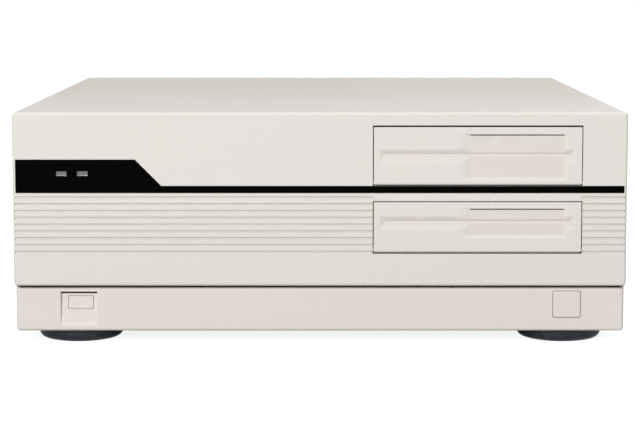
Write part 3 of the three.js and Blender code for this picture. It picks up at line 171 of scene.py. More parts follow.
class Workpiece:
    """A mesh that is modelled with edit-mode operators and applied modifiers."""

    def __init__(self, obj: bpy.types.Object) -> None:
        """Take a mesh object of this script's own into work."""
        self.obj = obj

    @classmethod
    def block(cls, xs: Span, ys: Span, zs: Span) -> "Workpiece":
        """Add a cube primitive at its place and size.

        Args:
            xs: The span across.
            ys: The span in depth.
            zs: The span in height.

        Returns:
            The new workpiece.
        """
        spans = (xs, ys, zs)
        bpy.ops.object.select_all(action="DESELECT")
        bpy.ops.mesh.primitive_cube_add(
            size=1,
            location=[middle_of(span) for span in spans],
            scale=[span[1] - span[0] for span in spans],
        )
        return cls(bpy.context.object).settle()

    @classmethod
    def slab(
        cls, xs: Span, ys: Span, zs: Span, corner: float, edge: float, steps: tuple[int, int]
    ) -> "Workpiece":
        """Make a block with rounded corners, seen from the front, and a rounded front edge.

        Args:
            xs: The span across.
            ys: The span in depth, from the front.
            zs: The span in height.
            corner: The width of the corners' rounding.
            edge: The width of the front edge's rounding.
            steps: How many steps each takes.

        Returns:
            The new workpiece.
        """
        slab = cls.block(xs, ys, zs).bevel(runs("y"), corner, steps[0])
        return slab.bevel(at("y", ys[0]), edge, steps[1])

    @classmethod
    def rod(
        cls, axis: Axis, centre: Point, radius: float, length: float, sides: int = 32
    ) -> "Workpiece":
        """Add a cylinder primitive.

        Args:
            axis: The direction it runs in.
            centre: Its middle point.
            radius: Its radius.
            length: Its length.
            sides: How many faces it has round.

        Returns:
            The new workpiece.
        """
        bpy.ops.object.select_all(action="DESELECT")
        bpy.ops.mesh.primitive_cylinder_add(
            vertices=sides, radius=radius, depth=length, location=centre, rotation=axis.value
        )
        return cls(bpy.context.object).settle()

    @classmethod
    def hull(cls, points: Sequence[Point]) -> "Workpiece":
        """Make the convex body round a few corner points.

        Args:
            points: The corners.

        Returns:
            The new workpiece.
        """
        piece = cls._drawn(points)
        bpy.ops.mesh.convex_hull()
        bpy.ops.object.mode_set(mode="OBJECT")
        return piece

    @classmethod
    def plate(cls, outline: Sequence[Point], ys: Span) -> "Workpiece":
        """Extrude a flat outline in depth.

        Args:
            outline: The corners, as (x, z).
            ys: Where the plate starts and ends in depth.

        Returns:
            The new workpiece.
        """
        piece = cls._drawn([(x, ys[0], z) for x, z in outline], faces=[list(range(len(outline)))])
        bpy.ops.mesh.extrude_region_move(TRANSFORM_OT_translate={"value": (0, ys[1] - ys[0], 0)})
        return piece._outwards()

    @classmethod
    def turned(cls, profile: Sequence[Point], steps: int) -> "Workpiece":
        """Spin a profile about the upright axis.

        Args:
            profile: Points as (radius, height), from the axis round to the axis.
            steps: How many steps the spin takes.

        Returns:
            The new workpiece.
        """
        points = [(radius, 0.0, height) for radius, height in profile]
        piece = cls._drawn(points, edges=[(i, i + 1) for i in range(len(points) - 1)])
        bpy.ops.mesh.spin(steps=steps, angle=2 * math.pi, center=(0, 0, 0), axis=(0, 0, 1))
        bpy.ops.mesh.select_all(action="SELECT")
        bpy.ops.mesh.remove_doubles(threshold=MERGE_DISTANCE)
        bpy.ops.mesh.dissolve_degenerate(threshold=MERGE_DISTANCE)
        return piece._outwards()

    @classmethod
    def copy_of(cls, node: str) -> "Workpiece":
        """Copy and merge a CAD node's mesh, with its flat faces made whole again.

        Args:
            node: The CAD node.

        Returns:
            The new workpiece.
        """
        piece = cls._linked(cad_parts[node].data.copy())
        activate(piece.obj)
        bpy.ops.mesh.customdata_custom_splitnormals_clear()
        piece._edit_all()
        bpy.ops.mesh.remove_doubles(threshold=MERGE_DISTANCE)
        bpy.ops.mesh.select_all(action="SELECT")
        bpy.ops.mesh.dissolve_limited(angle_limit=FLAT_ANGLE)
        bpy.ops.object.mode_set(mode="OBJECT")
        return piece

    @classmethod
    def _drawn(cls, points: Sequence[Point], edges: Sequence = (), faces: Sequence = ()) -> "Workpiece":
        """Draw a few corners and what joins them, and open them in edit mode.

        Args:
            points: The corners.
            edges: Pairs of corners.
            faces: Rings of corners.

        Returns:
            The new workpiece.
        """
        mesh = bpy.data.meshes.new("drawing")
        mesh.from_pydata([tuple(point) for point in points], edges, faces)
        piece = cls._linked(mesh)
        piece._edit_all()
        return piece

    @classmethod
    def _linked(cls, mesh: bpy.types.Mesh) -> "Workpiece":
        """Put a mesh in the scene.

        Args:
            mesh: The mesh.

        Returns:
            Its workpiece.
        """
        obj = bpy.data.objects.new(mesh.name, mesh)
        bpy.context.scene.collection.objects.link(obj)
        return cls(obj)

    def _edit_all(self) -> None:
        """Open the mesh in edit mode with all of it selected."""
        activate(self.obj)
        bpy.ops.object.mode_set(mode="EDIT")
        bpy.ops.mesh.select_all(action="SELECT")

    def _outwards(self) -> "Workpiece":
        """Turn every face outwards and leave edit mode.

        Returns:
            This workpiece.
        """
        bpy.ops.mesh.select_all(action="SELECT")
        bpy.ops.mesh.normals_make_consistent(inside=False)
        bpy.ops.object.mode_set(mode="OBJECT")
        return self

    def settle(self) -> "Workpiece":
        """Put the object's place, turn and size into its mesh.

        Returns:
            This workpiece.
        """
        activate(self.obj)
        bpy.ops.object.transform_apply(location=True, rotation=True, scale=True)
        return self

    def _shape(self, element: Element, test: Test, operator: Callable, **settings: Any) -> "Workpiece":
        """Run an edit-mode operator on the edges or faces that pass a test.

        Args:
            element: Edges or faces.
            test: Given an element's middle and its direction or normal, whether it takes part.
            operator: The operator.
            settings: The operator's settings.

        Returns:
            This workpiece.
        """
        mesh = self.obj.data
        activate(self.obj)
        bpy.ops.object.mode_set(mode="EDIT")
        bpy.ops.mesh.select_mode(type=element.value)
        bpy.ops.mesh.select_all(action="DESELECT")
        bpy.ops.object.mode_set(mode="OBJECT")
        if element is Element.FACE:
            for face in mesh.polygons:
                face.select = test(face.center, face.normal)
        else:
            for edge in mesh.edges:
                start, end = (mesh.vertices[i].co for i in edge.vertices)
                edge.select = test((start + end) / 2, (end - start).normalized())
        bpy.ops.object.mode_set(mode="EDIT")
        operator(**settings)
        bpy.ops.object.mode_set(mode="OBJECT")
        return self

    def bevel(self, test: Test, width: float, segments: int = 2) -> "Workpiece":
        """Round the edges that pass a test to a width, in a few steps."""
        settings = {"offset": width, "segments": segments, "affect": "EDGES"}
        return self._shape(Element.EDGE, test, bpy.ops.mesh.bevel, **settings)

    def pull(self, test: Test, move: Point) -> "Workpiece":
        """Pull the edges that pass a test out into new faces."""
        settings = {"TRANSFORM_OT_translate": {"value": move}}
        return self._shape(Element.EDGE, test, bpy.ops.mesh.extrude_region_move, **settings)

    def inset(self, test: Test, width: float, depth: float) -> "Workpiece":
        """Inset the faces that pass a test, and move them out by a depth, or in below zero."""
        return self._shape(Element.FACE, test, bpy.ops.mesh.inset, thickness=width, depth=depth)

    def delete_faces(self, test: Test) -> "Workpiece":
        """Take away the faces that pass a test."""
        return self._shape(Element.FACE, test, bpy.ops.mesh.delete, type="FACE")

    def _apply(self, kind: str, **settings: Any) -> "Workpiece":
        """Add a modifier with its settings and apply it.

        Args:
            kind: The modifier's type.
            settings: Its settings.

        Returns:
            This workpiece.
        """
        modifier = self.obj.modifiers.new(kind.title(), kind)
        for name, value in settings.items():
            setattr(modifier, name, value)
        activate(self.obj)
        bpy.ops.object.modifier_apply(modifier=modifier.name)
        return self

    def thicken(self, wall: float) -> "Workpiece":
        """Give an open sheet a wall on its inner side."""
        return self._apply("SOLIDIFY", thickness=wall, offset=-1, use_even_offset=True)

    def repeat(self, count: int, step: Point) -> "Workpiece":
        """Repeat the mesh in a row, a number of times in all, from one to the next by a step."""
        settings = {"use_relative_offset": False, "use_constant_offset": True}
        return self._apply("ARRAY", count=count, constant_offset_displace=step, **settings)

    def twin(self, place: Point, turn: Point = (0.0, 0.0, 0.0)) -> "Workpiece":
        """Copy the workpiece, with a mesh of its own.

        Args:
            place: Where the copy's origin goes.
            turn: How it is turned first, as angles about x, y and z.

        Returns:
            The copy.
        """
        twin = self._linked(self.obj.data.copy())
        twin.obj.location = place
        twin.obj.rotation_euler = turn
        return twin.settle()

    def discard(self) -> None:
        """Put the workpiece away once its copies are made."""
        bpy.data.objects.remove(self.obj)

    def _combine(self, others: Sequence["Workpiece"], operation: str) -> "Workpiece":
        """Join or cut with other workpieces, which are used up.

        Args:
            others: The other workpieces.
            operation: Which boolean operation.

        Returns:
            This workpiece.
        """
        for other in others:
            self._apply("BOOLEAN", operation=operation, solver="EXACT", object=other.obj)
            other.discard()
        return self

    def cut(self, *tools: "Workpiece") -> "Workpiece":
        """Take the tools' bodies out of this one."""
        return self._combine(tools, "DIFFERENCE")

    def unite(self, *others: "Workpiece") -> "Workpiece":
        """Join other bodies to this one."""
        return self._combine(others, "UNION")

    def ease(self, width: float, segments: int = 2) -> "Workpiece":
        """Round every sharp edge to a width, in a few steps."""
        settings = {"limit_method": "ANGLE", "angle_limit": EASE_ANGLE, "use_clamp_overlap": False}
        return self._apply("BEVEL", width=width, segments=segments, **settings)

    def smooth(self, angle: float = SMOOTH_ANGLE) -> "Workpiece":
        """Shade rounds smoothly, with flat faces kept flat.

        Args:
            angle: The least angle between faces that stays a crisp edge.

        Returns:
            This workpiece.
        """
        activate(self.obj)
        bpy.ops.object.shade_smooth_by_angle(angle=angle)
        return self._apply("WEIGHTED_NORMAL", keep_sharp=True, weight=NORMAL_WEIGHT)

    def finish(self, name: str, body: Body, finish: "Finish", nodes: Sequence[str] = ()) -> None:
        """Name the piece, dress it and let it ride on its body.

        Args:
            name: The piece's name.
            body: The body that carries it.
            finish: Its finish.
            nodes: The CAD nodes that it stands for.
        """
        obj = self.obj
        obj.name = name
        obj.data.name = name
        obj.data.materials.clear()
        obj.data.materials.append(finish.material())
        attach(obj, body.value)
        if nodes:
            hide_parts(*nodes)
        LOG.info("%s: %d faces, on %s", name, len(obj.data.polygons), body.value)


# Node nets and the shader groups that the finishes share


class Net:
    """A node tree while it is being wired."""

    def __init__(self, tree: bpy.types.NodeTree) -> None:
        """Start with a material's or a group's node tree."""
        self.tree = tree

    def feed(self, node: bpy.types.Node, inputs: dict[Any, Any]) -> None:
        """Give a node's sockets their links and values.

        Args:
            node: The node.
            inputs: Sockets and values, by the input's name or number.
        """
        for name, value in inputs.items():
            if isinstance(value, Socket):
                self.tree.links.new(value, node.inputs[name])
            else:
                node.inputs[name].default_value = value

    def add(self, kind: str, inputs: dict[Any, Any] | None = None, **settings: Any) -> bpy.types.Node:
        """Add a node.

        Args:
            kind: The node's type, without its ShaderNode prefix.
            inputs: Values and links for its sockets, by name or number.
            settings: Its own settings.

        Returns:
            The node.
        """
        node = self.tree.nodes.new("ShaderNode" + kind)
        for name, value in settings.items():
            setattr(node, name, value)
        self.feed(node, inputs or {})
        return node

    def maths(self, operation: str, *values: Any) -> Socket:
        """The result of a maths node on numbers or sockets."""
        return self.add("Math", dict(enumerate(values)), operation=operation).outputs[0]

    def times(self, first: Any, second: Any) -> Socket:
        """One number or socket times another."""
        return self.maths("MULTIPLY", first, second)

    def plus(self, first: Any, second: Any) -> Socket:
        """One number or socket and another, added."""
        return self.maths("ADD", first, second)

    def less(self, first: Any, second: Any) -> Socket:
        """One number or socket less another."""
        return self.maths("SUBTRACT", first, second)

    def axes(self, place: Socket) -> bpy.types.Node:
        """The node that parts a place or a direction into X, Y and Z."""
        return self.add("SeparateXYZ", {"Vector": place})

    def ramp(self, factor: Socket, low: float, high: float) -> Socket:
        """A smooth step from nought at low to one at high."""
        inputs = {"Value": factor, "From Min": low, "From Max": high}
        return self.add("MapRange", inputs, interpolation_type="SMOOTHSTEP").outputs["Result"]

    def noise(self, place: Socket, scale: Any, detail: float, roughness: float = 0.5) -> Socket:
        """Cloudy noise over a place, about one half on average."""
        inputs = {"Vector": place, "Scale": scale, "Detail": detail, "Roughness": roughness}
        return self.add("TexNoise", inputs).outputs["Fac"]

    def mix(self, factor: Any, first: Any, second: Any) -> Socket:
        """Mix two colours.

        Args:
            factor: How much of the second.
            first: A colour or a colour socket.
            second: A colour or a colour socket.

        Returns:
            The mixed colour.
        """
        inputs = {"Factor": factor, MIX_INPUTS[0]: paint(first), MIX_INPUTS[1]: paint(second)}
        return self.add("Mix", inputs, data_type="RGBA").outputs[MIX_RESULT]


@dataclass(frozen=True)
class SharedEffect:
    """A shader node group that several finishes use, built once under its name."""

    name: str
    numbers: tuple[str, ...] = ()
    colours: tuple[str, ...] = ()
    outputs: tuple[tuple[str, str], ...] = (("Mask", "Float"),)

    def group(self) -> bpy.types.NodeTree:
        """Build the group's tree the first time that it is asked for.

        Returns:
            The tree.
        """
        found = bpy.data.node_groups.get(self.name)
        if found:
            return found
        tree = bpy.data.node_groups.new(self.name, "ShaderNodeTree")
        sockets = [("Place", "INPUT", "Vector")]
        sockets += [(name, "INPUT", "Float") for name in self.numbers]
        sockets += [(name, "INPUT", "Color") for name in self.colours]
        sockets += [(name, "OUTPUT", kind) for name, kind in self.outputs]
        for name, side, kind in sockets:
            tree.interface.new_socket(name, in_out=side, socket_type="NodeSocket" + kind)
        start, end = tree.nodes.new("NodeGroupInput"), tree.nodes.new("NodeGroupOutput")
        net = Net(tree)
        net.feed(end, self.wire(net, start.outputs))
        return tree

    def wire(self, net: Net, given: Any) -> dict[str, Socket]:
        """Wire the group from its given sockets, and name what it puts out."""
        raise NotImplementedError

    def use(self, net: Net, place: Socket, **values: Any) -> bpy.types.NodeOutputs:
        """Put the group in a material.

        Args:
            net: The material's net.
            place: The coordinates that the effect reads.
            values: Its numbers and colours, by name.

        Returns:
            What the group puts out.
        """
        named = {name.replace("_", " ").capitalize(): paint(value) for name, value in values.items()}
        return net.add("Group", {"Place": place, **named}, node_tree=self.group()).outputs


@dataclass(frozen=True)
class MouldGrain(SharedEffect):
    """The fine pebbled grain of an etched mould: small cells on a softer swell."""

    name: str = "Mould grain"
    numbers: tuple[str, ...] = ("Size",)
    outputs: tuple[tuple[str, str], ...] = (("Height", "Float"),)
    swell_scale: float = 0.31
    swell_detail: float = 3.0
    swell_roughness: float = 0.6

    def wire(self, net: Net, given: Any) -> dict[str, Socket]:
        """Add the cells to the swell.

        Args:
            net: The group's net.
            given: The sockets that the group is given.

        Returns:
            The height.
        """
        fineness = net.maths("DIVIDE", 1.0, given["Size"])
        cells = net.add("TexVoronoi", {"Vector": given["Place"], "Scale": fineness}, feature="SMOOTH_F1")
        coarse = net.times(fineness, self.swell_scale)
        swell = net.noise(given["Place"], coarse, self.swell_detail, self.swell_roughness)
        return {"Height": net.plus(cells.outputs["Distance"], swell)}


@dataclass(frozen=True)
class TintDrift(SharedEffect):
    """A broad, faint drift between two tints, with a matching drift of the roughness."""

    name: str = "Tint drift"
    numbers: tuple[str, ...] = ("Amount", "Roughness")
    colours: tuple[str, ...] = ("Tint", "Warm tint")
    outputs: tuple[tuple[str, str], ...] = (("Colour", "Color"), ("Roughness", "Float"))
    broad: tuple[float, float] = (7.0, 4.0)
    fine: tuple[float, float] = (95.0, 2.0)
    fine_share: float = 0.3
    warm_from: Span = (0.45, 0.95)
    rougher: float = 0.12

    def wire(self, net: Net, given: Any) -> dict[str, Socket]:
        """Let broad and fine noise choose between the tints.

        Args:
            net: The group's net.
            given: The sockets that the group is given.

        Returns:
            The colour and the roughness.
        """
        fine = net.times(net.noise(given["Place"], *self.fine), self.fine_share)
        noise = net.plus(net.noise(given["Place"], *self.broad), fine)
        share = net.times(net.ramp(noise, *self.warm_from), given["Amount"])
        return {
            "Colour": net.mix(share, given["Tint"], given["Warm tint"]),
            "Roughness": net.plus(given["Roughness"], net.times(share, self.rougher)),
        }


@dataclass(frozen=True)
class EdgeWear(SharedEffect):
    """A mask along edges that hands rub, broken up so that it is nowhere an even line."""

    name: str = "Edge wear"
    numbers: tuple[str, ...] = ("Amount",)
    edge_from: Span = (0.53, 0.62)
    patches: tuple[float, float] = (60.0, 5.0)
    patch_from: Span = (0.42, 0.62)

    def wire(self, net: Net, given: Any) -> dict[str, Socket]:
        """Break a mask of the edges up with patches.

        Args:
            net: The group's net.
            given: The sockets that the group is given.

        Returns:
            The mask.
        """
        edge = net.ramp(net.add("NewGeometry").outputs["Pointiness"], *self.edge_from)
        broken = net.ramp(net.noise(given["Place"], *self.patches), *self.patch_from)
        return {"Mask": net.times(net.times(edge, broken), given["Amount"])}


@dataclass(frozen=True)
class DustFilm(SharedEffect):
    """A thin film of dust on faces that look up, in fine specks and soft patches."""

    name: str = "Dust film"
    numbers: tuple[str, ...] = ("Amount",)
    specks: tuple[float, float] = (900.0, 2.0)
    speck_from: Span = (0.5, 0.75)
    patches: tuple[float, float] = (22.0, 4.0)
    up_from: Span = (0.6, 1.0)

    def wire(self, net: Net, given: Any) -> dict[str, Socket]:
        """Scatter specks in patches on what looks up.

        Args:
            net: The group's net.
            given: The sockets that the group is given.

        Returns:
            The mask.
        """
        up = net.ramp(net.axes(net.add("NewGeometry").outputs["Normal"]).outputs["Z"], *self.up_from)
        specks = net.ramp(net.noise(given["Place"], *self.specks), *self.speck_from)
        spots = net.times(specks, net.noise(given["Place"], *self.patches))
        return {"Mask": net.times(net.times(spots, up), given["Amount"])}


GRAIN, DRIFT, EDGE_WEAR, DUST = MouldGrain(), TintDrift(), EdgeWear(), DustFilm()


# Finishes


@dataclass(frozen=True)
class Finish:
    """A finish with its name and the material slot of the record that it stands for."""

    name: str
    slot: str

    def material(self) -> bpy.types.Material:
        """Make the finish's material the first time that it is asked for.

        Returns:
            The material.
        """
        found = bpy.data.materials.get(self.name)
        if found:
            return found
        material = bpy.data.materials.new(self.name)
        material.use_nodes = True
        net = Net(material.node_tree)
        shader = material.node_tree.nodes["Principled BSDF"]
        net.feed(shader, self.wire(net, net.add("TexCoord").outputs["Object"]))
        return material

    def wire(self, net: Net, place: Socket) -> dict[str, Any]:
        """Wire the finish's nodes, and name what the shader gets."""
        raise NotImplementedError

    @staticmethod
    def raised(net: Net, height: Socket, depth: float, strength: float) -> Socket:
        """A normal from a height, where a height of one stands for the depth."""
        inputs = {"Height": height, "Distance": depth, "Strength": strength}
        return net.add("Bump", inputs).outputs["Normal"]


@dataclass(frozen=True)
class TintRamp:
    """A tint that comes in smoothly along an axis, from the place without it to the place full of it.
    The finishes use it for painted shade in the front's recesses, for painted light that makes the cover
    lighter at the front, and for a warmer, darker tone from the stripe downwards on the front.
    """

    axis: str
    without: float
    full: float
    tint: Colour
    share: float = 1.0

    def over(self, net: Net, axes: bpy.types.Node, colour: Socket) -> Socket:
        """Mix the tint over a colour.

        Args:
            net: The material's net.
            axes: The place, parted into its axes.
            colour: The colour below.

        Returns:
            The colour with the tint.
        """
        step = net.ramp(axes.outputs[self.axis], *sorted((self.without, self.full)))
        if self.full < self.without:
            step = net.less(1.0, step)
        return net.mix(net.times(step, self.share), colour, self.tint)


@dataclass(frozen=True, kw_only=True)
class CoatedFinish(Finish):
    """A coloured, grained surface that drifts in tint, with rubbed edges and dust on what looks up."""

    tint: Colour
    warm_tint: Colour
    worn_tint: Colour
    dust_tint: Colour
    roughness: float
    drift: float
    wear: float
    dust: float
    grain_size: float
    grain_depth: float
    grain_strength: float
    gloss: float = 0.5
    polish: float = 0.0
    bare_metal: bool = False
    # Tint ramps along the axes, which on some finishes paint shade and light.
    tint_ramps: tuple[TintRamp, ...] = ()

    def wire(self, net: Net, place: Socket) -> dict[str, Any]:
        """Wire tint, tint ramps (painted shade and painted light on some finishes), wear, dust,
        roughness and grain.

        Args:
            net: The material's net.
            place: The place on the piece.

        Returns:
            What the shader gets.
        """
        values = {"roughness": self.roughness, "tint": self.tint, "warm_tint": self.warm_tint}
        drift = DRIFT.use(net, place, amount=self.drift, **values)
        wear = EDGE_WEAR.use(net, place, amount=self.wear)["Mask"]
        dust = DUST.use(net, place, amount=self.dust)["Mask"]
        axes, colour = net.axes(place), drift["Colour"]
        # Painted shade and painted light come in here, from the finishes whose tint ramps stand for
        # them.
        for tint_ramp in self.tint_ramps:
            colour = tint_ramp.over(net, axes, colour)
        worn = net.mix(wear, colour, self.worn_tint)
        grain = GRAIN.use(net, place, size=self.grain_size)["Height"]
        return {
            "Base Color": net.mix(dust, worn, self.dust_tint),
            "Roughness": net.less(drift["Roughness"], net.times(wear, self.polish)),
            "Specular IOR Level": self.gloss,
            "Normal": self.raised(net, grain, self.grain_depth, self.grain_strength),
            **({"Metallic": wear} if self.bare_metal else {}),
        }


@dataclass(frozen=True, kw_only=True)
class MouldedPlastic(CoatedFinish):
    """Moulded plastic with an etched grain and edges that rubbing polishes."""

    dust_tint: Colour = (0.42, 0.40, 0.37)
    roughness: float = 0.5
    drift: float = 0.6
    wear: float = 0.25
    dust: float = 0.12
    grain_size: float = 0.7 * MM
    grain_depth: float = 0.03 * MM
    grain_strength: float = 0.5
    gloss: float = 0.4
    polish: float = 0.15


@dataclass(frozen=True, kw_only=True)
class PowderCoat(CoatedFinish):
    """Powder-coated sheet steel: a satin orange peel, with steel at rubbed edges."""

    worn_tint: Colour = (0.45, 0.45, 0.46)
    dust_tint: Colour = (0.40, 0.38, 0.36)
    roughness: float = 0.46
    drift: float = 0.5
    wear: float = 0.2
    dust: float = 0.2
    grain_size: float = 2.2 * MM
    grain_depth: float = 0.05 * MM
    grain_strength: float = 0.45
    bare_metal: bool = True


@dataclass(frozen=True, kw_only=True)
class SheetMetal(Finish):
    """Bare metal: zinc spangle on sheet steel, or the fine streaks of drawn metal."""

    tint: Colour
    pale_tint: Colour
    roughness: float = 0.33
    roughness_swing: float = 0.08
    spangle_size: float = 9 * MM
    streak: float = 0.5
    streak_scale: tuple[float, float, float] = (900.0, 12.0, 900.0)
    streak_detail: float = 3.0
    streak_depth: float = 0.01 * MM
    streak_strength: float = 0.25

    def wire(self, net: Net, place: Socket) -> dict[str, Any]:
        """Wire spangle in colour and roughness, with streaks along the sheet's depth.

        Args:
            net: The material's net.
            place: The place on the piece.

        Returns:
            What the shader gets.
        """
        spangle = net.add("TexVoronoi", {"Vector": place, "Scale": 1 / self.spangle_size})
        flake = net.add("SeparateColor", {"Color": spangle.outputs["Color"]}).outputs["Red"]
        drawn = net.add("Mapping", {"Vector": place, "Scale": self.streak_scale}).outputs["Vector"]
        streaks = net.noise(drawn, 1.0, self.streak_detail)
        blend = net.plus(net.times(flake, 1 - self.streak), net.times(streaks, self.streak))
        swing = net.times(blend, 2 * self.roughness_swing)
        return {
            "Base Color": net.mix(blend, self.tint, self.pale_tint),
            "Roughness": net.plus(self.roughness - self.roughness_swing, swing),
            "Metallic": 1.0,
            "Normal": self.raised(net, streaks, self.streak_depth, self.streak_strength),
        }


@dataclass(frozen=True)
class CircuitBoard(Finish):
    """A board under green mask, with copper tracks below it and tinned pads through it."""

    mask: Colour = (0.012, 0.085, 0.035)
    track: Colour = (0.03, 0.16, 0.06)
    pad: Colour = (0.62, 0.60, 0.52)
    track_pitch: float = 2.6 * MM
    track_from: Span = (0.62, 0.70)
    pad_pitch: float = 5.1 * MM
    pad_from: Span = (0.14, 0.17)
    pad_scatter: float = 0.4
    pad_metal: float = 0.9
    roughness: float = 0.42
    pad_polish: float = 0.12
    depth: float = 0.03 * MM
    strength: float = 0.5

    def wire(self, net: Net, place: Socket) -> dict[str, Any]:
        """Wire tracks from stepped cell borders and pads from small cells.

        Args:
            net: The material's net.
            place: The place on the piece.

        Returns:
            What the shader gets.
        """
        cells = {"Vector": place, "Scale": 1 / self.track_pitch}
        borders = net.add("TexVoronoi", cells, feature="F1", distance="MANHATTAN").outputs["Distance"]
        tracks = net.ramp(borders, *self.track_from)
        dots = {"Vector": place, "Scale": 1 / self.pad_pitch, "Randomness": self.pad_scatter}
        rings = net.ramp(net.add("TexVoronoi", dots).outputs["Distance"], *self.pad_from)
        pads = net.less(1.0, rings)
        return {
            "Base Color": net.mix(pads, net.mix(tracks, self.mask, self.track), self.pad),
            "Metallic": net.times(pads, self.pad_metal),
            "Roughness": net.less(self.roughness, net.times(pads, self.pad_polish)),
            "Normal": self.raised(net, net.plus(tracks, pads), self.depth, self.strength),
        }


@dataclass(frozen=True)
class LampLens(Finish):
    """An unlit clear lamp window with fine upright flutes."""

    tint: Colour = (0.21, 0.21, 0.21)
    shade: Colour = (0.07, 0.07, 0.075)
    flute_pitch: float = 1.2 * MM
    flute_depth: float = 0.1 * MM
    flute_strength: float = 0.4
    cloud: tuple[float, float] = (420.0, 2.0)
    roughness: float = 0.18
    gloss_coat: float = 0.5

    def wire(self, net: Net, place: Socket) -> dict[str, Any]:
        """Wire bright and dark flutes, with a gloss over them.

        Args:
            net: The material's net.
            place: The place on the piece.

        Returns:
            What the shader gets.
        """
        turns = net.times(net.axes(place).outputs["X"], 2 * math.pi / self.flute_pitch)
        wave = net.maths("SINE", turns)
        blend = net.times(net.ramp(wave, -1.0, 1.0), net.noise(place, *self.cloud))
        return {
            "Base Color": net.mix(blend, self.tint, self.shade),
            "Roughness": self.roughness,
            "Coat Weight": self.gloss_coat,
            "Normal": self.raised(net, wave, self.flute_depth, self.flute_strength),
        }


@dataclass(frozen=True)
class Rubber(Finish):
    """Moulded black rubber: a soft bluish sheen, fine pores and pale scuffs."""

    tint: Colour = (0.014, 0.016, 0.020)
    scuff: Colour = (0.07, 0.078, 0.092)
    scuffs: tuple[float, float, float] = (130.0, 6.0, 0.7)
    scuff_from: Span = (0.52, 0.75)
    scuff_share: float = 0.6
    roughness: float = 0.36
    scuff_roughness: float = 0.3
    sheen: tuple[float, float] = (0.8, 0.4)
    sheen_tint: Colour = (0.55, 0.68, 0.85)
    coat: tuple[float, float] = (0.9, 0.2)
    pore_size: float = 0.5 * MM
    pore_depth: float = 0.03 * MM
    pore_strength: float = 0.5

    def wire(self, net: Net, place: Socket) -> dict[str, Any]:
        """Wire scuffs on the tint and pores in the surface.

        Args:
            net: The material's net.
            place: The place on the piece.

        Returns:
            What the shader gets.
        """
        scuffs = net.ramp(net.noise(place, *self.scuffs), *self.scuff_from)
        share = net.times(scuffs, self.scuff_share)
        pores = GRAIN.use(net, place, size=self.pore_size)["Height"]
        return {
            "Base Color": net.mix(share, self.tint, self.scuff),
            "Roughness": net.plus(self.roughness, net.times(share, self.scuff_roughness)),
            "Sheen Weight": self.sheen[0],
            "Sheen Roughness": self.sheen[1],
            "Sheen Tint": paint(self.sheen_tint),
            "Coat Weight": self.coat[0],
            "Coat Roughness": self.coat[1],
            "Normal": self.raised(net, pores, self.pore_depth, self.pore_strength),
        }


FRONT_PLASTIC = MouldedPlastic(
    "Off-white front plastic",
    "front_plastic",
    tint=(0.735, 0.715, 0.680),
    warm_tint=(0.745, 0.705, 0.650),
    worn_tint=(0.80, 0.78, 0.74),
    tint_ramps=(
        TintRamp("Z", without=118 * MM, full=60 * MM, tint=(0.725, 0.690, 0.635)),
        # Painted shade: the plastic turns darker and browner where it lies deeper than the face, so
        # grooves, slot, recesses and gaps look shaded.
        TintRamp("Y", without=-214.95 * MM, full=-214.15 * MM, tint=(0.63, 0.47, 0.34), share=0.17),
    ),
)
BAND_PLASTIC = MouldedPlastic(
    "Off-white band plastic",
    "band_plastic",
    tint=(0.738, 0.688, 0.633),
    warm_tint=(0.742, 0.685, 0.622),
    worn_tint=(0.79, 0.75, 0.70),
)
STRIPE_PLASTIC = MouldedPlastic(
    "Satin black stripe",
    "black_plastic",
    tint=(0.0013, 0.0008, 0.0007),
    warm_tint=(0.0018, 0.0012, 0.0010),
    worn_tint=(0.03, 0.03, 0.03),
    roughness=0.42,
    grain_size=0.5 * MM,
    grain_depth=0.015 * MM,
    drift=0.2,
    wear=0.0,
    dust=0.01,
    gloss=0.02,
)
DARK_PLASTIC = MouldedPlastic(
    "Black moulded plastic",
    "dark_plastic",
    tint=(0.012, 0.012, 0.013),
    warm_tint=(0.018, 0.017, 0.016),
    worn_tint=(0.07, 0.07, 0.07),
    roughness=0.45,
)
# Painted shade: a dark brown finish for strips set in gaps and undercuts, coloured like the shade inside
# them.
PAINTED_SHADE = MouldedPlastic(
    "Dark brown painted shade",
    "dark_plastic",
    tint=(0.052, 0.035, 0.025),
    warm_tint=(0.060, 0.040, 0.028),
    worn_tint=(0.070, 0.050, 0.038),
    roughness=0.95,
    grain_size=0.35 * MM,
    grain_depth=0.08 * MM,
    gloss=0.05,
)
COVER_COAT = PowderCoat(
    "Off-white powder coat",
    "painted_steel",
    tint=(0.700, 0.645, 0.600),
    warm_tint=(0.715, 0.662, 0.612),
    # Painted light: the paint grows lighter towards the front, standing for the stronger light on the
    # front of the top, and stays darker at the back.
    tint_ramps=(TintRamp("Y", without=80 * MM, full=-215 * MM, tint=(0.756, 0.717, 0.682)),),
)
ZINC_STEEL = SheetMetal(
    "Zinc-plated steel", "bare_steel", tint=(0.42, 0.43, 0.45), pale_tint=(0.68, 0.69, 0.70)
)
BRIGHT_STEEL = SheetMetal(
    "Bright plated steel",
    "bare_steel",
    tint=(0.60, 0.60, 0.61),
    pale_tint=(0.80, 0.80, 0.80),
    roughness=0.22,
    streak=1.0,
)
ALUMINIUM = SheetMetal(
    "Plain aluminium",
    "aluminium",
    tint=(0.62, 0.63, 0.65),
    pale_tint=(0.82, 0.83, 0.84),
    roughness=0.35,
    streak=0.9,
)
BOARD = CircuitBoard("Green circuit board", "circuit_board")
LENS = LampLens("Clear lamp lens", "lamp")
FOOT_RUBBER = Rubber("Black foot rubber", "rubber")


# Sub-assemblies


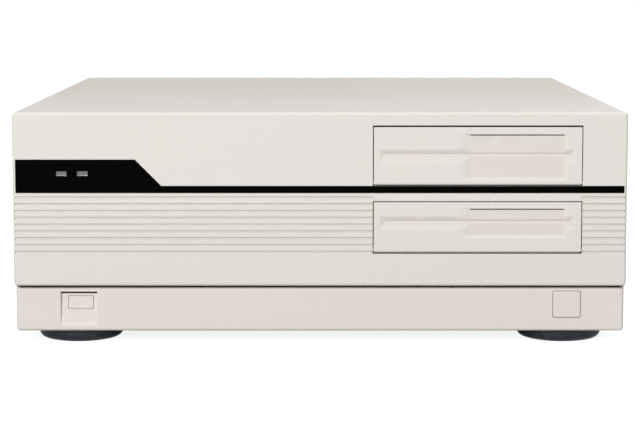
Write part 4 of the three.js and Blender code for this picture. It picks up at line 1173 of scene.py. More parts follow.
@dataclass
class CoverShell:
    """The folded steel cover: a top and two sides, a lipped back edge and a row of vents each side."""

    wall: float = 1.2 * MM
    corner: float = 3 * MM
    corner_steps: int = 6
    lip_width: float = 9 * MM
    lip_inset: float = 3.5 * MM
    notch_depth: float = 4 * MM
    notch_gap: float = 0.3 * MM
    vent_count: int = 14
    vent_width: float = 4 * MM
    vent_height: float = 44 * MM
    vent_pitch: float = 9 * MM
    vent_rise: float = 44 * MM
    vent_back_inset: float = 34 * MM
    vent_round: float = 1.95 * MM
    vent_steps: int = 4
    screw_hole: float = 1.8 * MM
    screw_hole_length: float = 20 * MM
    edge_ease: float = 0.25 * MM

    def build(self) -> None:
        """Model the cover and dress it."""
        self.box = NodeBox("top_cover")
        shell = self._fold(self.box.x, self.box.y, self.box.z)
        shell.delete_faces(lambda middle, normal: abs(normal.y) > ALONG or normal.z < -ALONG)
        shell.thicken(self.wall).unite(self._lip())
        shell.cut(self._notch(), self._vents(), *self._screw_holes())
        shell.ease(self.edge_ease).smooth()
        shell.finish("cover_shell", Body.CASE, COVER_COAT, ["top_cover"])

    def _fold(self, xs: Span, ys: Span, zs: Span) -> Workpiece:
        """A block whose two long top edges are rounded like a fold."""
        fold = both(runs("y"), at("z", zs[1]))
        return Workpiece.block(xs, ys, zs).bevel(fold, self.corner, self.corner_steps)

    def _lip(self) -> Workpiece:
        """Make the flange folded in at the back.

        Returns:
            The flange.
        """
        box, end = self.box, self.box.y[1] - self.lip_inset
        ys = (end - self.wall, end)
        rise = (box.z[0] + self.wall, box.z[1] - self.wall / 2)
        lip = self._fold(grown(box.x, -self.wall / 2), ys, rise)
        below = (box.z[0] - OVERRUN, box.z[1] - self.lip_width)
        opening = Workpiece.block(grown(box.x, -self.lip_width), grown(ys, OVERRUN), below)
        return lip.cut(opening.bevel(runs("y"), self.corner / 2, self.corner_steps))

    def _notch(self) -> Workpiece:
        """Make room for the lower band's rim under the front.

        Returns:
            The notch's tool.
        """
        end = NodeBox("lower_valance").y[0] + self.notch_depth + self.notch_gap
        rise = (self.box.z[0] - OVERRUN, NodeBox("front_fascia").z[0])
        return Workpiece.block(grown(self.box.x, OVERRUN), (self.box.y[0] - OVERRUN, end), rise)

    def _vents(self) -> Workpiece:
        """Make one round-ended vent through both sides and repeat it along them.

        Returns:
            The vents' tool.
        """
        low = self.box.z[0] + self.vent_rise
        depth = around(self.box.y[1] - self.vent_back_inset, self.vent_width)
        vent = Workpiece.block(grown(self.box.x, OVERRUN), depth, (low, low + self.vent_height))
        vent.bevel(runs("x"), self.vent_round, self.vent_steps)
        return vent.repeat(self.vent_count, (0, -self.vent_pitch, 0))

    def _screw_holes(self) -> list[Workpiece]:
        """Holes in the lip for the two cover screws."""
        sizes = (self.screw_hole, self.screw_hole_length)
        return [Workpiece.rod(Axis.Y, NodeBox(node).middle, *sizes) for node in COVER_SCREWS]


@dataclass
class Bay:
    """A bay in the front, worked out from the door that closes it."""

    door: str
    gap: float = 0.6 * MM
    pin_length: float = 1.7 * MM
    hinge_inset: float = 1.8 * MM

    def __post_init__(self) -> None:
        """Measure the door and place the bay round it."""
        box = NodeBox(self.door)
        self.x: Span = grown(box.x, -self.pin_length)
        self.z: Span = grown(box.z, self.gap)
        self.face: float = box.y[0]
        self.slab_x: Span = grown(self.x, -self.gap)
        self.slab_z: Span = box.z
        self.hinge: Span = (self.face + self.hinge_inset, box.z[0] + self.hinge_inset)


@dataclass
class StripeShape:
    """The outline of the black stripe: a thin band with a tall block at its left and a sloped end."""

    height: float = 4.8 * MM
    block_width: float = 85.6 * MM
    block_slope: float = 18.8 * MM

    def outline(self, margin: float) -> list[tuple[float, float]]:
        """Work out the outline's corners.

        Args:
            margin: How far outside the inlay it lies.

        Returns:
            The corners, as (x, z), from the lower left round.
        """
        box = NodeBox("stripe_inlay")
        band_top = box.z[0] + self.height
        start, end = grown(box.x, margin)
        rise = box.z[1] - band_top
        block_end = box.x[0] + self.block_width + margin / 2
        slope_end = block_end + self.block_slope * (1 + margin / (2 * rise))
        low, shoulder, high = box.z[0] - margin, band_top + margin, box.z[1] + margin
        band = [(start, low), (end, low), (end, shoulder), (slope_end, shoulder)]
        return band + [(block_end, high), (start, high)]


@dataclass
class LampWindow:
    """The window of a lamp in the front."""

    node: str
    width: float = 7.4 * MM
    height: float = 3.3 * MM

    def block(self, ys: Span, margin: float = 0.0) -> Workpiece:
        """Make a block of the window's outline.

        Args:
            ys: Where it starts and ends in depth.
            margin: How far outside the outline it lies.

        Returns:
            The block.
        """
        x, _, z = NodeBox(self.node).middle
        across, rise = around(x, self.width), around(z, self.height)
        return Workpiece.block(grown(across, margin), ys, grown(rise, margin))


LAMPS = [LampWindow("power_lamp"), LampWindow("drive_lamp")]


@dataclass
class FrontFascia:
    """The ribbed front moulding with its two bays, its stripe seat and the skirt under the cover."""

    rim_depth: float = 6 * MM
    rim_radius: float = 2 * MM
    rim_corner: float = 2.4 * MM
    round_steps: int = 5
    wall: float = 3 * MM
    skirt_inset: float = 1.5 * MM
    skirt_wall: float = 2.4 * MM
    bay_depth: float = 20 * MM
    jamb_wall: float = 2.4 * MM
    threshold_room: float = 0.25 * MM
    groove_count: int = 9
    groove_pitch: float = 4.93 * MM
    groove_width: float = 1.4 * MM
    groove_depth: float = 1.2 * MM
    first_groove_drop: float = 3.4 * MM
    lip_ease: float = 0.22 * MM
    lip_steps: int = 2
    lip_reach: float = 0.1 * MM
    lip_slant: float = 0.5
    stripe_seat: float = 1.6 * MM
    gap: float = 0.3 * MM
    pin_hole: float = 1.2 * MM
    pin_reach: float = 2 * MM
    pin_sides: int = 16

    def build(self) -> None:
        """Model the fascia and dress it."""
        self.box = NodeBox("front_fascia")
        self.stripe = NodeBox("stripe_inlay")
        self.bays = [Bay("upper_door"), Bay("lower_door")]
        body = self._rim().unite(self._skirt())
        body.cut(self._hollow()).unite(self._jambs())
        self.bays[1].z = (self.bays[1].z[0] - self.threshold_room, self.bays[1].z[1])
        body.cut(*self._front_holes(), *self._pin_holes(), *self._grooves())
        body.bevel(self._is_lip, self.lip_ease, self.lip_steps).smooth()
        body.finish("ribbed_fascia", Body.CASE, FRONT_PLASTIC, ["front_fascia"])

    def _depth(self, start: float, end: float) -> Span:
        """A span in depth, from the fascia's face."""
        return self.box.y[0] + start, self.box.y[0] + end

    def _rim(self) -> Workpiece:
        """The rounded slab that stands proud of the cover."""
        sizes = (self.rim_corner, self.rim_radius, (self.round_steps, self.round_steps))
        return Workpiece.slab(self.box.x, self._depth(0, self.rim_depth), self.box.z, *sizes)

    def _skirt(self) -> Workpiece:
        """Make the sides and roof that reach back inside the cover.

        Returns:
            The skirt, still solid.
        """
        high = self.box.z[1] - self.skirt_inset
        depth = (self.box.y[0] + self.wall, self.box.y[1])
        skirt = Workpiece.block(grown(self.box.x, -self.skirt_inset), depth, (self.box.z[0], high))
        return skirt.bevel(both(runs("y"), at("z", high)), self.skirt_inset, self.round_steps)

    def _hollow(self) -> Workpiece:
        """Make the room inside the skirt.

        Returns:
            The room's tool.
        """
        inset = self.skirt_inset + self.skirt_wall
        depth = (self.box.y[0] + self.wall, self.box.y[1] + OVERRUN)
        rise = (self.box.z[0] + self.skirt_wall, self.box.z[1] - inset)
        return Workpiece.block(grown(self.box.x, -inset), depth, rise)

    def _jambs(self) -> Workpiece:
        """Make the moulded frame round both bays.

        Returns:
            The frame, still solid.
        """
        upper, lower = self.bays
        rise = grown((lower.z[0], upper.z[1]), self.jamb_wall)
        depth = self._depth(self.wall / 2, self.bay_depth)
        return Workpiece.block(grown(upper.x, self.jamb_wall), depth, rise)

    def _front_holes(self) -> list[Workpiece]:
        """Make what is cut for the bays, the stripe and the lamps.

        Returns:
            The tools.
        """
        room = grown(self._depth(0, self.bay_depth), OVERRUN)
        holes = [Workpiece.block(bay.x, room, bay.z) for bay in self.bays]
        seat = self._depth(-OVERRUN, self.stripe_seat)
        holes.append(Workpiece.plate(StripeShape().outline(self.gap), seat))
        through = grown(self._depth(0, self.wall), OVERRUN)
        return holes + [lamp.block(through, self.gap) for lamp in LAMPS]

    def _pin_holes(self) -> list[Workpiece]:
        """Make bearings for the doors' pins.

        Returns:
            The tools.
        """
        holes = []
        for bay in self.bays:
            width = bay.x[1] - bay.x[0] + 2 * self.pin_reach
            centre = (middle_of(bay.x), *bay.hinge)
            holes.append(Workpiece.rod(Axis.X, centre, self.pin_hole, width, self.pin_sides))
        return holes

    def _grooves(self) -> list[Workpiece]:
        """Make the nine grooves, which wrap round the rim and stop at the bays.

        Returns:
            The tools for the left and the right of the bays.
        """
        rise = around(self.stripe.z[0] - self.first_groove_drop, self.groove_width)
        bay, edges = grown(self.bays[1].x, -self.gap), grown(self.box.x, OVERRUN)
        behind = self.box.y[0] + self.rim_depth
        fold = both(runs("z"), lambda middle, way: middle.y < behind)
        cutters = []
        for run in ((edges[0], bay[0]), (bay[1], edges[1])):
            depth = self._depth(self.groove_depth, self.rim_depth + OVERRUN)
            core = Workpiece.block(grown(self.box.x, -self.groove_depth), depth, grown(rise, OVERRUN))
            core.bevel(fold, self.rim_radius - self.groove_depth, self.round_steps)
            slab = Workpiece.block(run, self._depth(-OVERRUN, self.rim_depth), rise).cut(core)
            cutters.append(slab.repeat(self.groove_count, (0, 0, -self.groove_pitch)))
        return cutters

    def _depth_in(self, place: Vector) -> float:
        """Measure how far a place lies inside the rim's outer face, seen from above.

        Args:
            place: The place.

        Returns:
            The depth.
        """
        side = self.box.x[1] - abs(place.x)
        ahead = place.y - self.box.y[0]
        if side < self.rim_radius and ahead < self.rim_radius:
            return self.rim_radius - math.hypot(self.rim_radius - side, self.rim_radius - ahead)
        return min(side, ahead)

    def _is_lip(self, middle: Vector, way: Vector) -> bool:
        """Find the lips of the grooves, the bays and the stripe seat, on the outer face.

        Args:
            middle: The middle of an edge.
            way: The direction that the edge runs in.

        Returns:
            Whether it is on a lip.
        """
        if self._depth_in(middle) > self.lip_reach:
            return False
        first = self.stripe.z[0] - self.first_groove_drop + self.groove_width / 2
        low = first - self.groove_count * self.groove_pitch
        on_groove = low < middle.z < first + CLOSE and abs(way.z) < self.lip_slant
        on_seat = self.stripe.z[0] - MM < middle.z < self.stripe.z[1] + MM
        across = grown(self.bays[0].x, MM)
        on_bay = near(middle.y, self.box.y[0]) and across[0] < middle.x < across[1]
        return on_groove or (on_bay and not on_seat)


@dataclass
class StripeAndLamps:
    """The black stripe inlay and the two lamp windows in its block."""

    gap: float = 0.3 * MM
    ease: float = 0.12 * MM
    seam_width: float = 0.4 * MM
    seam_depth: float = 0.3 * MM
    flange: float = 1.2 * MM
    flange_start: float = 3.3 * MM
    flange_depth: float = 1.5 * MM
    lens_dish: float = 0.25 * MM
    lens_border: float = 0.75 * MM

    def build(self) -> None:
        """Model the stripe and its lamps."""
        box, shape = NodeBox("stripe_inlay"), StripeShape()
        stripe = Workpiece.plate(shape.outline(0.0), box.y)
        stripe.cut(*[lamp.block(grown(box.y, OVERRUN), self.gap) for lamp in LAMPS])
        depth = (box.y[0] - OVERRUN, box.y[0] + self.seam_depth)
        rise = grown((box.z[0], box.z[0] + shape.height), OVERRUN)
        seams = [around(x, self.seam_width) for x in Bay("upper_door").x]
        stripe.cut(*[Workpiece.block(seam, depth, rise) for seam in seams])
        stripe.ease(self.ease).smooth()
        stripe.finish("black_stripe", Body.CASE, STRIPE_PLASTIC, ["stripe_inlay"])
        for lamp in LAMPS:
            name = lamp.node.replace("lamp", "lamp_window")
            self._pipe(lamp).finish(name, Body.CASE, LENS, [lamp.node])

    def _pipe(self, lamp: LampWindow) -> Workpiece:
        """Make one light pipe: a window with a dished face, and a flange behind the front's wall.

        Args:
            lamp: The lamp's window.

        Returns:
            The light pipe.
        """
        ys = NodeBox(lamp.node).y
        pipe = lamp.block(ys)
        pipe.inset(lambda middle, normal: normal.y < -ALONG, self.lens_border, -self.lens_dish)
        start = ys[0] + self.flange_start
        flange = lamp.block((start, start + self.flange_depth), self.flange)
        return pipe.unite(flange).ease(self.ease).smooth()


@dataclass
class DriveDoor:
    """A drop-down door: a slab on a round knuckle, with a tapered slot and a shallow finger recess."""

    node: str
    body: Body
    slot_drop: float
    lever_drop: float
    lever_height: float
    head_room: float
    thickness: float = 4 * MM
    pin_radius: float = 0.9 * MM
    pin_sides: int = 16
    side_room: float = 0.05 * MM
    slot_left: float = 3.4 * MM
    slot_right: float = 4 * MM
    slot_left_taper: float = 4.5 * MM
    slot_right_taper: float = 4 * MM
    slot_depth: float = 1.1 * MM
    slot_upper_face: float = 3 * MM
    slot_lower_face: float = 6.8 * MM
    lever_right: float = 12.6 * MM
    lever_width: float = 67.4 * MM
    lever_depth: float = 0.74 * MM
    lever_left_ramp: float = 7 * MM
    lever_right_ramp: float = 2.1 * MM
    lever_foot_ramp: float = 2.4 * MM
    slit_height: float = 0.82 * MM
    # Where the strip of painted shade in the slit starts and ends in depth.
    slit_shade_span: Span = (1.1 * MM, 1.5 * MM)
    slit_depth: float = 3.2 * MM
    crease_height: float = 0.28 * MM
    crease_depth: float = 0.7 * MM
    edge_ease: float = 0.22 * MM
    flat_angle: float = math.radians(3)
    foot_overlap: float = 0.3 * MM
    heel_inset: float = 0.1 * MM
    knuckle_sides: int = 64
    pocket_count: int = 5
    pocket_rib: float = 2 * MM
    pocket_depth: float = 1.1 * MM
    lift: float = 0.3 * MM

    def build(self) -> None:
        """Model the door and dress it."""
        self.bay = bay = Bay(self.node)
        self.across: Span = grown(bay.slab_x, -self.side_room)
        self.crease: float = bay.slab_z[1] - self.slot_drop
        start, end = bay.slab_x[0] + self.slot_left, bay.slab_x[1] - self.slot_right
        self.slot_x: Span = (start, end)
        self.crease_x: Span = (start + self.slot_left_taper, end - self.slot_right_taper)
        self.lever_top: float = bay.slab_z[1] - self.lever_drop
        end = bay.slab_x[1] - self.lever_right
        self.lever_x: Span = (end - self.lever_width, end)
        slab = self._slab().unite(*self._hinge())
        slab.cut(self._slit(), self._crease_line(), self._pockets()).smooth(self.flat_angle)
        slab.finish(self.node + "_panel", self.body, FRONT_PLASTIC, [self.node])
        # Painted shade: a dark strip at the back of the slit under the recess's top edge, which darkens
        # the slit.
        self._slit_shade().finish(self.node + "_slit_shade", self.body, PAINTED_SHADE)

    def _depth(self, start: float, end: float) -> Span:
        """A span in depth, from the door's face."""
        return self.bay.face + start, self.bay.face + end

    def _slab(self) -> Workpiece:
        """Make the door's slab with its slot and recess, cut off square above the knuckle.

        Returns:
            The slab.
        """
        low, high = self.bay.slab_z[0], self.bay.slab_z[1] - self.head_room
        slab = Workpiece.block(self.across, self._depth(0, self.thickness), (low - OVERRUN, high))
        slab.cut(self._slot(), self._lever()).ease(self.edge_ease)
        room = grown(self._depth(0, self.thickness), OVERRUN)
        below = (low - 2 * OVERRUN, self.bay.hinge[1] - self.foot_overlap)
        return slab.cut(Workpiece.block(grown(self.across, OVERRUN), room, below))

    def _hinge(self) -> list[Workpiece]:
        """Make what the door turns on.

        Returns:
            The heel behind the knuckle, the knuckle and the pins.
        """
        bay, across = self.bay, self.across
        heel = Workpiece.block(
            grown(across, -self.heel_inset),
            (bay.hinge[0], bay.face + self.thickness - self.heel_inset),
            (bay.slab_z[0] + self.foot_overlap, bay.hinge[1] + OVERRUN),
        )
        axis = (middle_of(across), *bay.hinge)
        width = across[1] - across[0] - 4 * self.edge_ease
        pins = bay.slab_x[1] - bay.slab_x[0] + 2 * (bay.gap + bay.pin_length)
        knuckle = Workpiece.rod(Axis.X, axis, bay.hinge_inset - CLOSE, width, self.knuckle_sides)
        return [heel, knuckle, Workpiece.rod(Axis.X, axis, self.pin_radius, pins, self.pin_sides)]

    def _slot(self) -> Workpiece:
        """Make the slot's tool: two slopes that meet in a crease, tapered out at both ends.

        Returns:
            The tool.
        """
        spread = 1 + self.lift / self.slot_depth
        rims = (self.crease + self.slot_upper_face * spread, self.crease - self.slot_lower_face * spread)
        front, floor = self._depth(-self.lift, self.slot_depth)
        points = [(x, front, z) for x in self.slot_x for z in rims]
        return Workpiece.hull(points + [(x, floor, self.crease) for x in self.crease_x])

    def _lever(self) -> Workpiece:
        """Make the recess's tool: a flat floor, ramps at its sides and foot, and a square top edge.

        Returns:
            The tool.
        """
        high = self.lever_top
        foot = high - self.lever_height
        spread = 1 + self.lift / self.lever_depth
        left = self.lever_x[0] - self.lever_left_ramp * spread
        right = self.lever_x[1] + self.lever_right_ramp * spread
        low = foot + self.lever_foot_ramp * (1 - spread)
        front, floor = self._depth(-self.lift, self.lever_depth)
        points = [(x, front, z) for x in (left, right) for z in (low, high)]
        points += [(x, floor, z) for x in self.lever_x for z in (foot + self.lever_foot_ramp, high)]
        return Workpiece.hull(points)

    def _slit(self) -> Workpiece:
        """The narrow undercut along the recess's top edge."""
        rise = (self.lever_top - self.slit_height, self.lever_top)
        return Workpiece.block(self.lever_x, self._depth(-self.lift, self.slit_depth), rise)

    def _slit_shade(self) -> Workpiece:
        """Make the strip of dark painted shade at the back of the undercut.

        Returns:
            The strip.
        """
        rise = grown((self.lever_top - self.slit_height, self.lever_top), -CLOSE)
        shade_strip_depth = Workpiece.block(grown(self.lever_x, -CLOSE), self._depth(*self.slit_shade_span), rise)
        return shade_strip_depth.ease(2 * CLOSE, 1).smooth()

    def _crease_line(self) -> Workpiece:
        """The fine line where the slot's two slopes meet, which runs on across the recess."""
        depth = self._depth(-self.lift, self.lever_depth + self.crease_depth)
        return Workpiece.block(self.crease_x, depth, around(self.crease, self.crease_height))

    def _pockets(self) -> Workpiece:
        """Make a row of shallow pockets in the back, which leave stiffening ribs.

        Returns:
            The pockets' tool.
        """
        start, end = grown(self.bay.slab_x, -self.pocket_rib)
        pitch = (end - start + self.pocket_rib) / self.pocket_count
        back = self.bay.face + self.thickness
        low = self.bay.hinge[1] + self.bay.hinge_inset + self.pocket_rib
        high = self.lever_top - self.slit_height - self.pocket_rib
        across = (start, start + pitch - self.pocket_rib)
        pocket = Workpiece.block(across, (back - self.pocket_depth, back + OVERRUN), (low, high))
        return pocket.repeat(self.pocket_count, (pitch, 0, 0))


DOORS = [
    DriveDoor(
        "upper_door",
        Body.UPPER_DOOR,
        slot_drop=19.7 * MM,
        lever_drop=5.9 * MM,
        lever_height=33.2 * MM,
        head_room=0.62 * MM,
    ),
    DriveDoor(
        "lower_door",
        Body.LOWER_DOOR,
        slot_drop=13.5 * MM,
        lever_drop=4.8 * MM,
        lever_height=21.4 * MM,
        head_room=0.1 * MM,
    ),
]


@dataclass
class GapShadeStrips:
    """Strips of painted shade: dark brown arches behind the doors' edges in their bays, and a strip in
    the gap above the lower band, which make those gaps look deep and dark.
    """

    thickness: float = 0.3 * MM
    start: float = 0.35 * MM
    side_start: float = 0.9 * MM
    depth: float = 12 * MM
    hinge_room: float = 1.6 * MM
    strip_setback: float = 1.2 * MM
    strip_depth: float = 3 * MM
    strip_inset: float = 3 * MM
    ease: float = 0.05 * MM

    def build(self) -> None:
        """Model the strips of painted shade."""
        # Painted shade: dark strips behind the doors' edges and in the gap above the band.
        for node in ("upper_door", "lower_door"):
            self._arch_of_shade(Bay(node)).finish(node + "_seal", Body.CASE, PAINTED_SHADE)
        self._strip().finish("band_gap_seal", Body.CASE, PAINTED_SHADE)

    def _arch_of_shade(self, bay: Bay) -> Workpiece:
        """Make an arch of dark painted shade on a bay's roof and sides.

        Args:
            bay: The bay.

        Returns:
            The arch.
        """
        ys = (bay.face + self.start, bay.face + self.start + self.depth)
        outer = grown(bay.x, -CLOSE / 2)
        low, high = bay.hinge[1] + self.hinge_room, bay.z[1] - CLOSE / 2
        arch = Workpiece.block(outer, ys, (low, high))
        below = (low - OVERRUN, high - self.thickness)
        inner = Workpiece.block(grown(outer, -self.thickness), grown(ys, OVERRUN), below)
        ahead = (ys[0] - OVERRUN, bay.face + self.side_start)
        setback = Workpiece.block(grown(outer, OVERRUN), ahead, below)
        return arch.cut(inner, setback).ease(self.ease, 1).smooth()

    def _strip(self) -> Workpiece:
        """Make the strip of dark painted shade between the fascia and the lower band.

        Returns:
            The strip.
        """
        band = NodeBox("lower_valance")
        front = band.y[0] + self.strip_setback
        ys = (front, front + self.strip_depth)
        rise = grown((band.z[1], NodeBox("front_fascia").z[0]), -CLOSE)
        strip = Workpiece.block(grown(band.x, -self.strip_inset), ys, rise)
        return strip.ease(self.ease, 1).smooth()


@dataclass
class LowerBand:
    """The set-back band under the front, with a scoop for the reset button and the power button."""

    rim_depth: float = 4 * MM
    rim_radius: float = 2 * MM
    rim_corner: float = 2.4 * MM
    round_steps: int = 5
    skirt_inset: float = 0.9 * MM
    lip: float = 1.8 * MM
    wall: float = 2 * MM
    top_wall: float = 1.2 * MM
    scoop_inset: float = 32.2 * MM
    scoop_width: float = 26.5 * MM
    scoop_drop: float = 3 * MM
    scoop_height: float = 25 * MM
    scoop_depth: float = 3 * MM
    scoop_foot: Span = (1.1 * MM, 3.5 * MM)
    scoop_wall: float = 3 * MM
    undercut_height: float = 1.7 * MM
    undercut_depth: float = 1 * MM
    # The depth and edge rounding of the strip of painted shade in the slot under the scoop's roof.
    shade_strip_depth: float = 0.8 * MM
    shade_strip_ease: float = 0.1 * MM
    button_gap: float = 0.3 * MM
    cap_depth: float = 7 * MM
    cap_corner: float = 1.5 * MM
    cap_drop: float = 0.6 * MM
    cap_edge: float = 0.8 * MM
    cap_steps: tuple[int, int] = (4, 3)
    stem_radius: float = 3 * MM
    stem_sides: int = 24
    reset_stem_radius: float = 2.2 * MM
    reset_proud: float = 0.3 * MM
    reset_height: float = 9 * MM
    reset_insets: Span = (0.3 * MM, 0.6 * MM)
    reset_reach: float = 9 * MM
    lip_ease: float = 0.25 * MM

    def build(self) -> None:
        """Model the band and its two buttons."""
        self.box = NodeBox("lower_valance")
        self.power, self.reset = NodeBox("power_button"), NodeBox("reset_button")
        start = self.box.x[0] + self.scoop_inset
        self.scoop: Span = (start, start + self.scoop_width)
        self.scoop_top: float = self.box.z[1] - self.scoop_drop
        self.scoop_low: float = self.scoop_top - self.scoop_height
        self.slot_back: float = self.box.y[0] + self.scoop_depth + self.undercut_depth
        self.slot_z: Span = (self.scoop_top - self.undercut_height, self.scoop_top)
        self.cap_z: Span = (self.power.z[0] - self.cap_drop, self.power.z[1] - self.cap_drop)
        self.key_z: Span = around(self.reset.middle[2] - self.cap_drop, self.reset_height)
        left, right = self.reset_insets
        self.key_x: Span = (self.reset.x[0] + left, self.reset.x[1] - right)
        self._band()
        # Painted shade: a dark strip that darkens the slot under the scoop's roof.
        self._undercut_shade()
        self._power_button()
        self._reset_button()

    def _band(self) -> None:
        """Model the band itself."""
        front, back = self.box.y
        low, high = self.box.z[0] + self.lip, self.box.z[1]
        rim = (self.rim_corner, self.rim_radius, (self.round_steps, self.round_steps))
        band = Workpiece.slab(self.box.x, (front, front + self.rim_depth), self.box.z, *rim)
        across = grown(self.box.x, -self.skirt_inset)
        band.unite(Workpiece.block(across, (front + self.rim_depth / 2, back), (low, high)))
        inside, rise = (front + self.wall, back + OVERRUN), (low + self.wall, high - self.top_wall)
        band.cut(Workpiece.block(grown(across, -self.wall), inside, rise))
        depth = (front + self.wall / 2, front + self.scoop_depth + self.scoop_wall)
        rise = (low + self.wall / 2, high - self.top_wall / 2)
        band.unite(Workpiece.block(grown(self.scoop, self.wall), depth, rise))
        band.cut(self._scoop_tool(), self._undercut(), *self._button_holes())
        band.bevel(self._is_lip, self.lip_ease).smooth()
        band.finish("lower_band", Body.CASE, BAND_PLASTIC, ["lower_valance"])

    def _scoop_tool(self) -> Workpiece:
        """Make the scoop's tool, deep at its top and with a short ramp at its foot.

        Returns:
            The tool.
        """
        front = self.box.y[0]
        depth, rise = self.scoop_foot
        side = (
            (front - OVERRUN, self.scoop_low - OVERRUN * rise / depth),
            (front + depth, self.scoop_low + rise),
            (front + self.scoop_depth, self.scoop_top),
            (front - OVERRUN, self.scoop_top),
        )
        return Workpiece.hull([(x, y, z) for x in self.scoop for y, z in side])

    def _undercut(self) -> Workpiece:
        """The slot under the scoop's roof."""
        return Workpiece.block(self.scoop, (self.box.y[0] - OVERRUN, self.slot_back), self.slot_z)

    def _undercut_shade(self) -> None:
        """Model the dark strip of painted shade at the back of the slot under the scoop's roof."""
        front = self.slot_back - self.shade_strip_depth
        shade_strip_depth = Workpiece.block(grown(self.scoop, -CLOSE), (front, self.slot_back), self.slot_z)
        shade_strip_depth.bevel(at("y", front), self.shade_strip_ease, 1).smooth()
        shade_strip_depth.finish("scoop_shade_strip", Body.CASE, PAINTED_SHADE)

    def _floor(self, z: float) -> float:
        """Work out how deep the scoop's floor is.

        Args:
            z: The height, above the foot's ramp.

        Returns:
            The depth.
        """
        depth, rise = self.scoop_foot
        share = (z - self.scoop_low - rise) / (self.scoop_height - rise)
        return depth + share * (self.scoop_depth - depth)

    def _button_holes(self) -> list[Workpiece]:
        """Make the holes that the two buttons move in.

        Returns:
            The tools.
        """
        gap, front = self.button_gap, self.box.y[0]
        through = (front - OVERRUN, front + self.cap_depth + OVERRUN)
        power = Workpiece.block(grown(self.power.x, gap), through, grown(self.cap_z, gap))
        power.bevel(runs("y"), self.cap_corner + gap, self.cap_steps[0])
        return [power, Workpiece.block(grown(self.key_x, gap), through, grown(self.key_z, gap))]

    def _is_lip(self, middle: Vector, way: Vector) -> bool:
        """Find the edges of the scoop and of the buttons' holes in the front face.

        Args:
            middle: The middle of an edge.
            way: The direction that the edge runs in.

        Returns:
            Whether it is one of them.
        """
        spans = [grown(span, MM) for span in (self.power.x, self.scoop)]
        beside = any(low < middle.x < high for low, high in spans)
        inside = self.box.z[0] + self.rim_radius + MM < middle.z < self.box.z[1] - self.rim_radius / 2
        return near(middle.y, self.box.y[0]) and inside and beside

    def _stem(self, box: NodeBox, start: float, radius: float) -> Workpiece:
        """Make a button's round stem.

        Args:
            box: The button's box.
            start: Where the stem starts in depth.
            radius: Its radius.

        Returns:
            The stem.
        """
        length = box.y[1] - start
        centre = (box.middle[0], start + length / 2, box.middle[2])
        return Workpiece.rod(Axis.Y, centre, radius, length, self.stem_sides)

    def _power_button(self) -> None:
        """Model a square cap with soft edges on a round stem."""
        front = self.power.y[0]
        rounding = (self.cap_corner, self.cap_edge, self.cap_steps)
        cap = Workpiece.slab(self.power.x, (front, front + self.cap_depth), self.cap_z, *rounding)
        cap.unite(self._stem(self.power, front + self.cap_depth / 2, self.stem_radius)).smooth()
        cap.finish("power_button_cap", Body.POWER_BUTTON, BAND_PLASTIC, ["power_button"])

    def _reset_button(self) -> None:
        """Model a key whose face follows the slope of the scoop's floor."""
        front, back = self.box.y[0], self.box.y[0] + self.reset_reach
        faces = [(front + self._floor(z) - self.reset_proud, z) for z in self.key_z]
        sides = [point for y, z in faces for point in ((y, z), (back, z))]
        key = Workpiece.hull([(x, y, z) for x in self.key_x for y, z in sides]).ease(self.lip_ease)
        key.unite(self._stem(self.reset, back - self.reset_reach / 2, self.reset_stem_radius)).smooth()
        key.finish("reset_button_key", Body.RESET_BUTTON, BAND_PLASTIC, ["reset_button"])


@dataclass
class CrossScrew:
    """A cross-headed pan screw, modelled once, facing up, and copied to its places."""

    radius: float = 3.2 * MM
    height: float = 2 * MM
    dome: float = 1.1 * MM
    dome_steps: int = 4
    slot_width: float = 0.9 * MM
    slot_depth: float = 1 * MM
    slot_share: float = 0.62
    edge_ease: float = 0.12 * MM
    sunk: float = 0.1 * MM

    def model(self) -> Workpiece:
        """Make the head, with its seat at the origin.

        Returns:
            The head.
        """
        centre = (0.0, 0.0, (self.height - self.sunk) / 2)
        head = Workpiece.rod(Axis.Z, centre, self.radius, self.height + self.sunk)
        head.bevel(at("z", self.height), self.dome, self.dome_steps)
        reach, half = self.radius * self.slot_share, self.slot_width / 2
        rise = (self.height - self.slot_depth, self.height + OVERRUN)
        for wide, deep in ((reach, half), (half, reach)):
            head.cut(Workpiece.block((-wide, wide), (-deep, deep), rise))
        return head.ease(self.edge_ease).smooth()

    def build(self, places: dict[str, Point], turn: Point) -> None:
        """Model the screw and copy it to each place.

        Args:
            places: Where each screw's seat is, by the screw's name.
            turn: How the screws are turned to face outwards.
        """
        head = self.model()
        for name, place in places.items():
            head.twin(place, turn).finish(name, Body.CASE, BRIGHT_STEEL)
        head.discard()


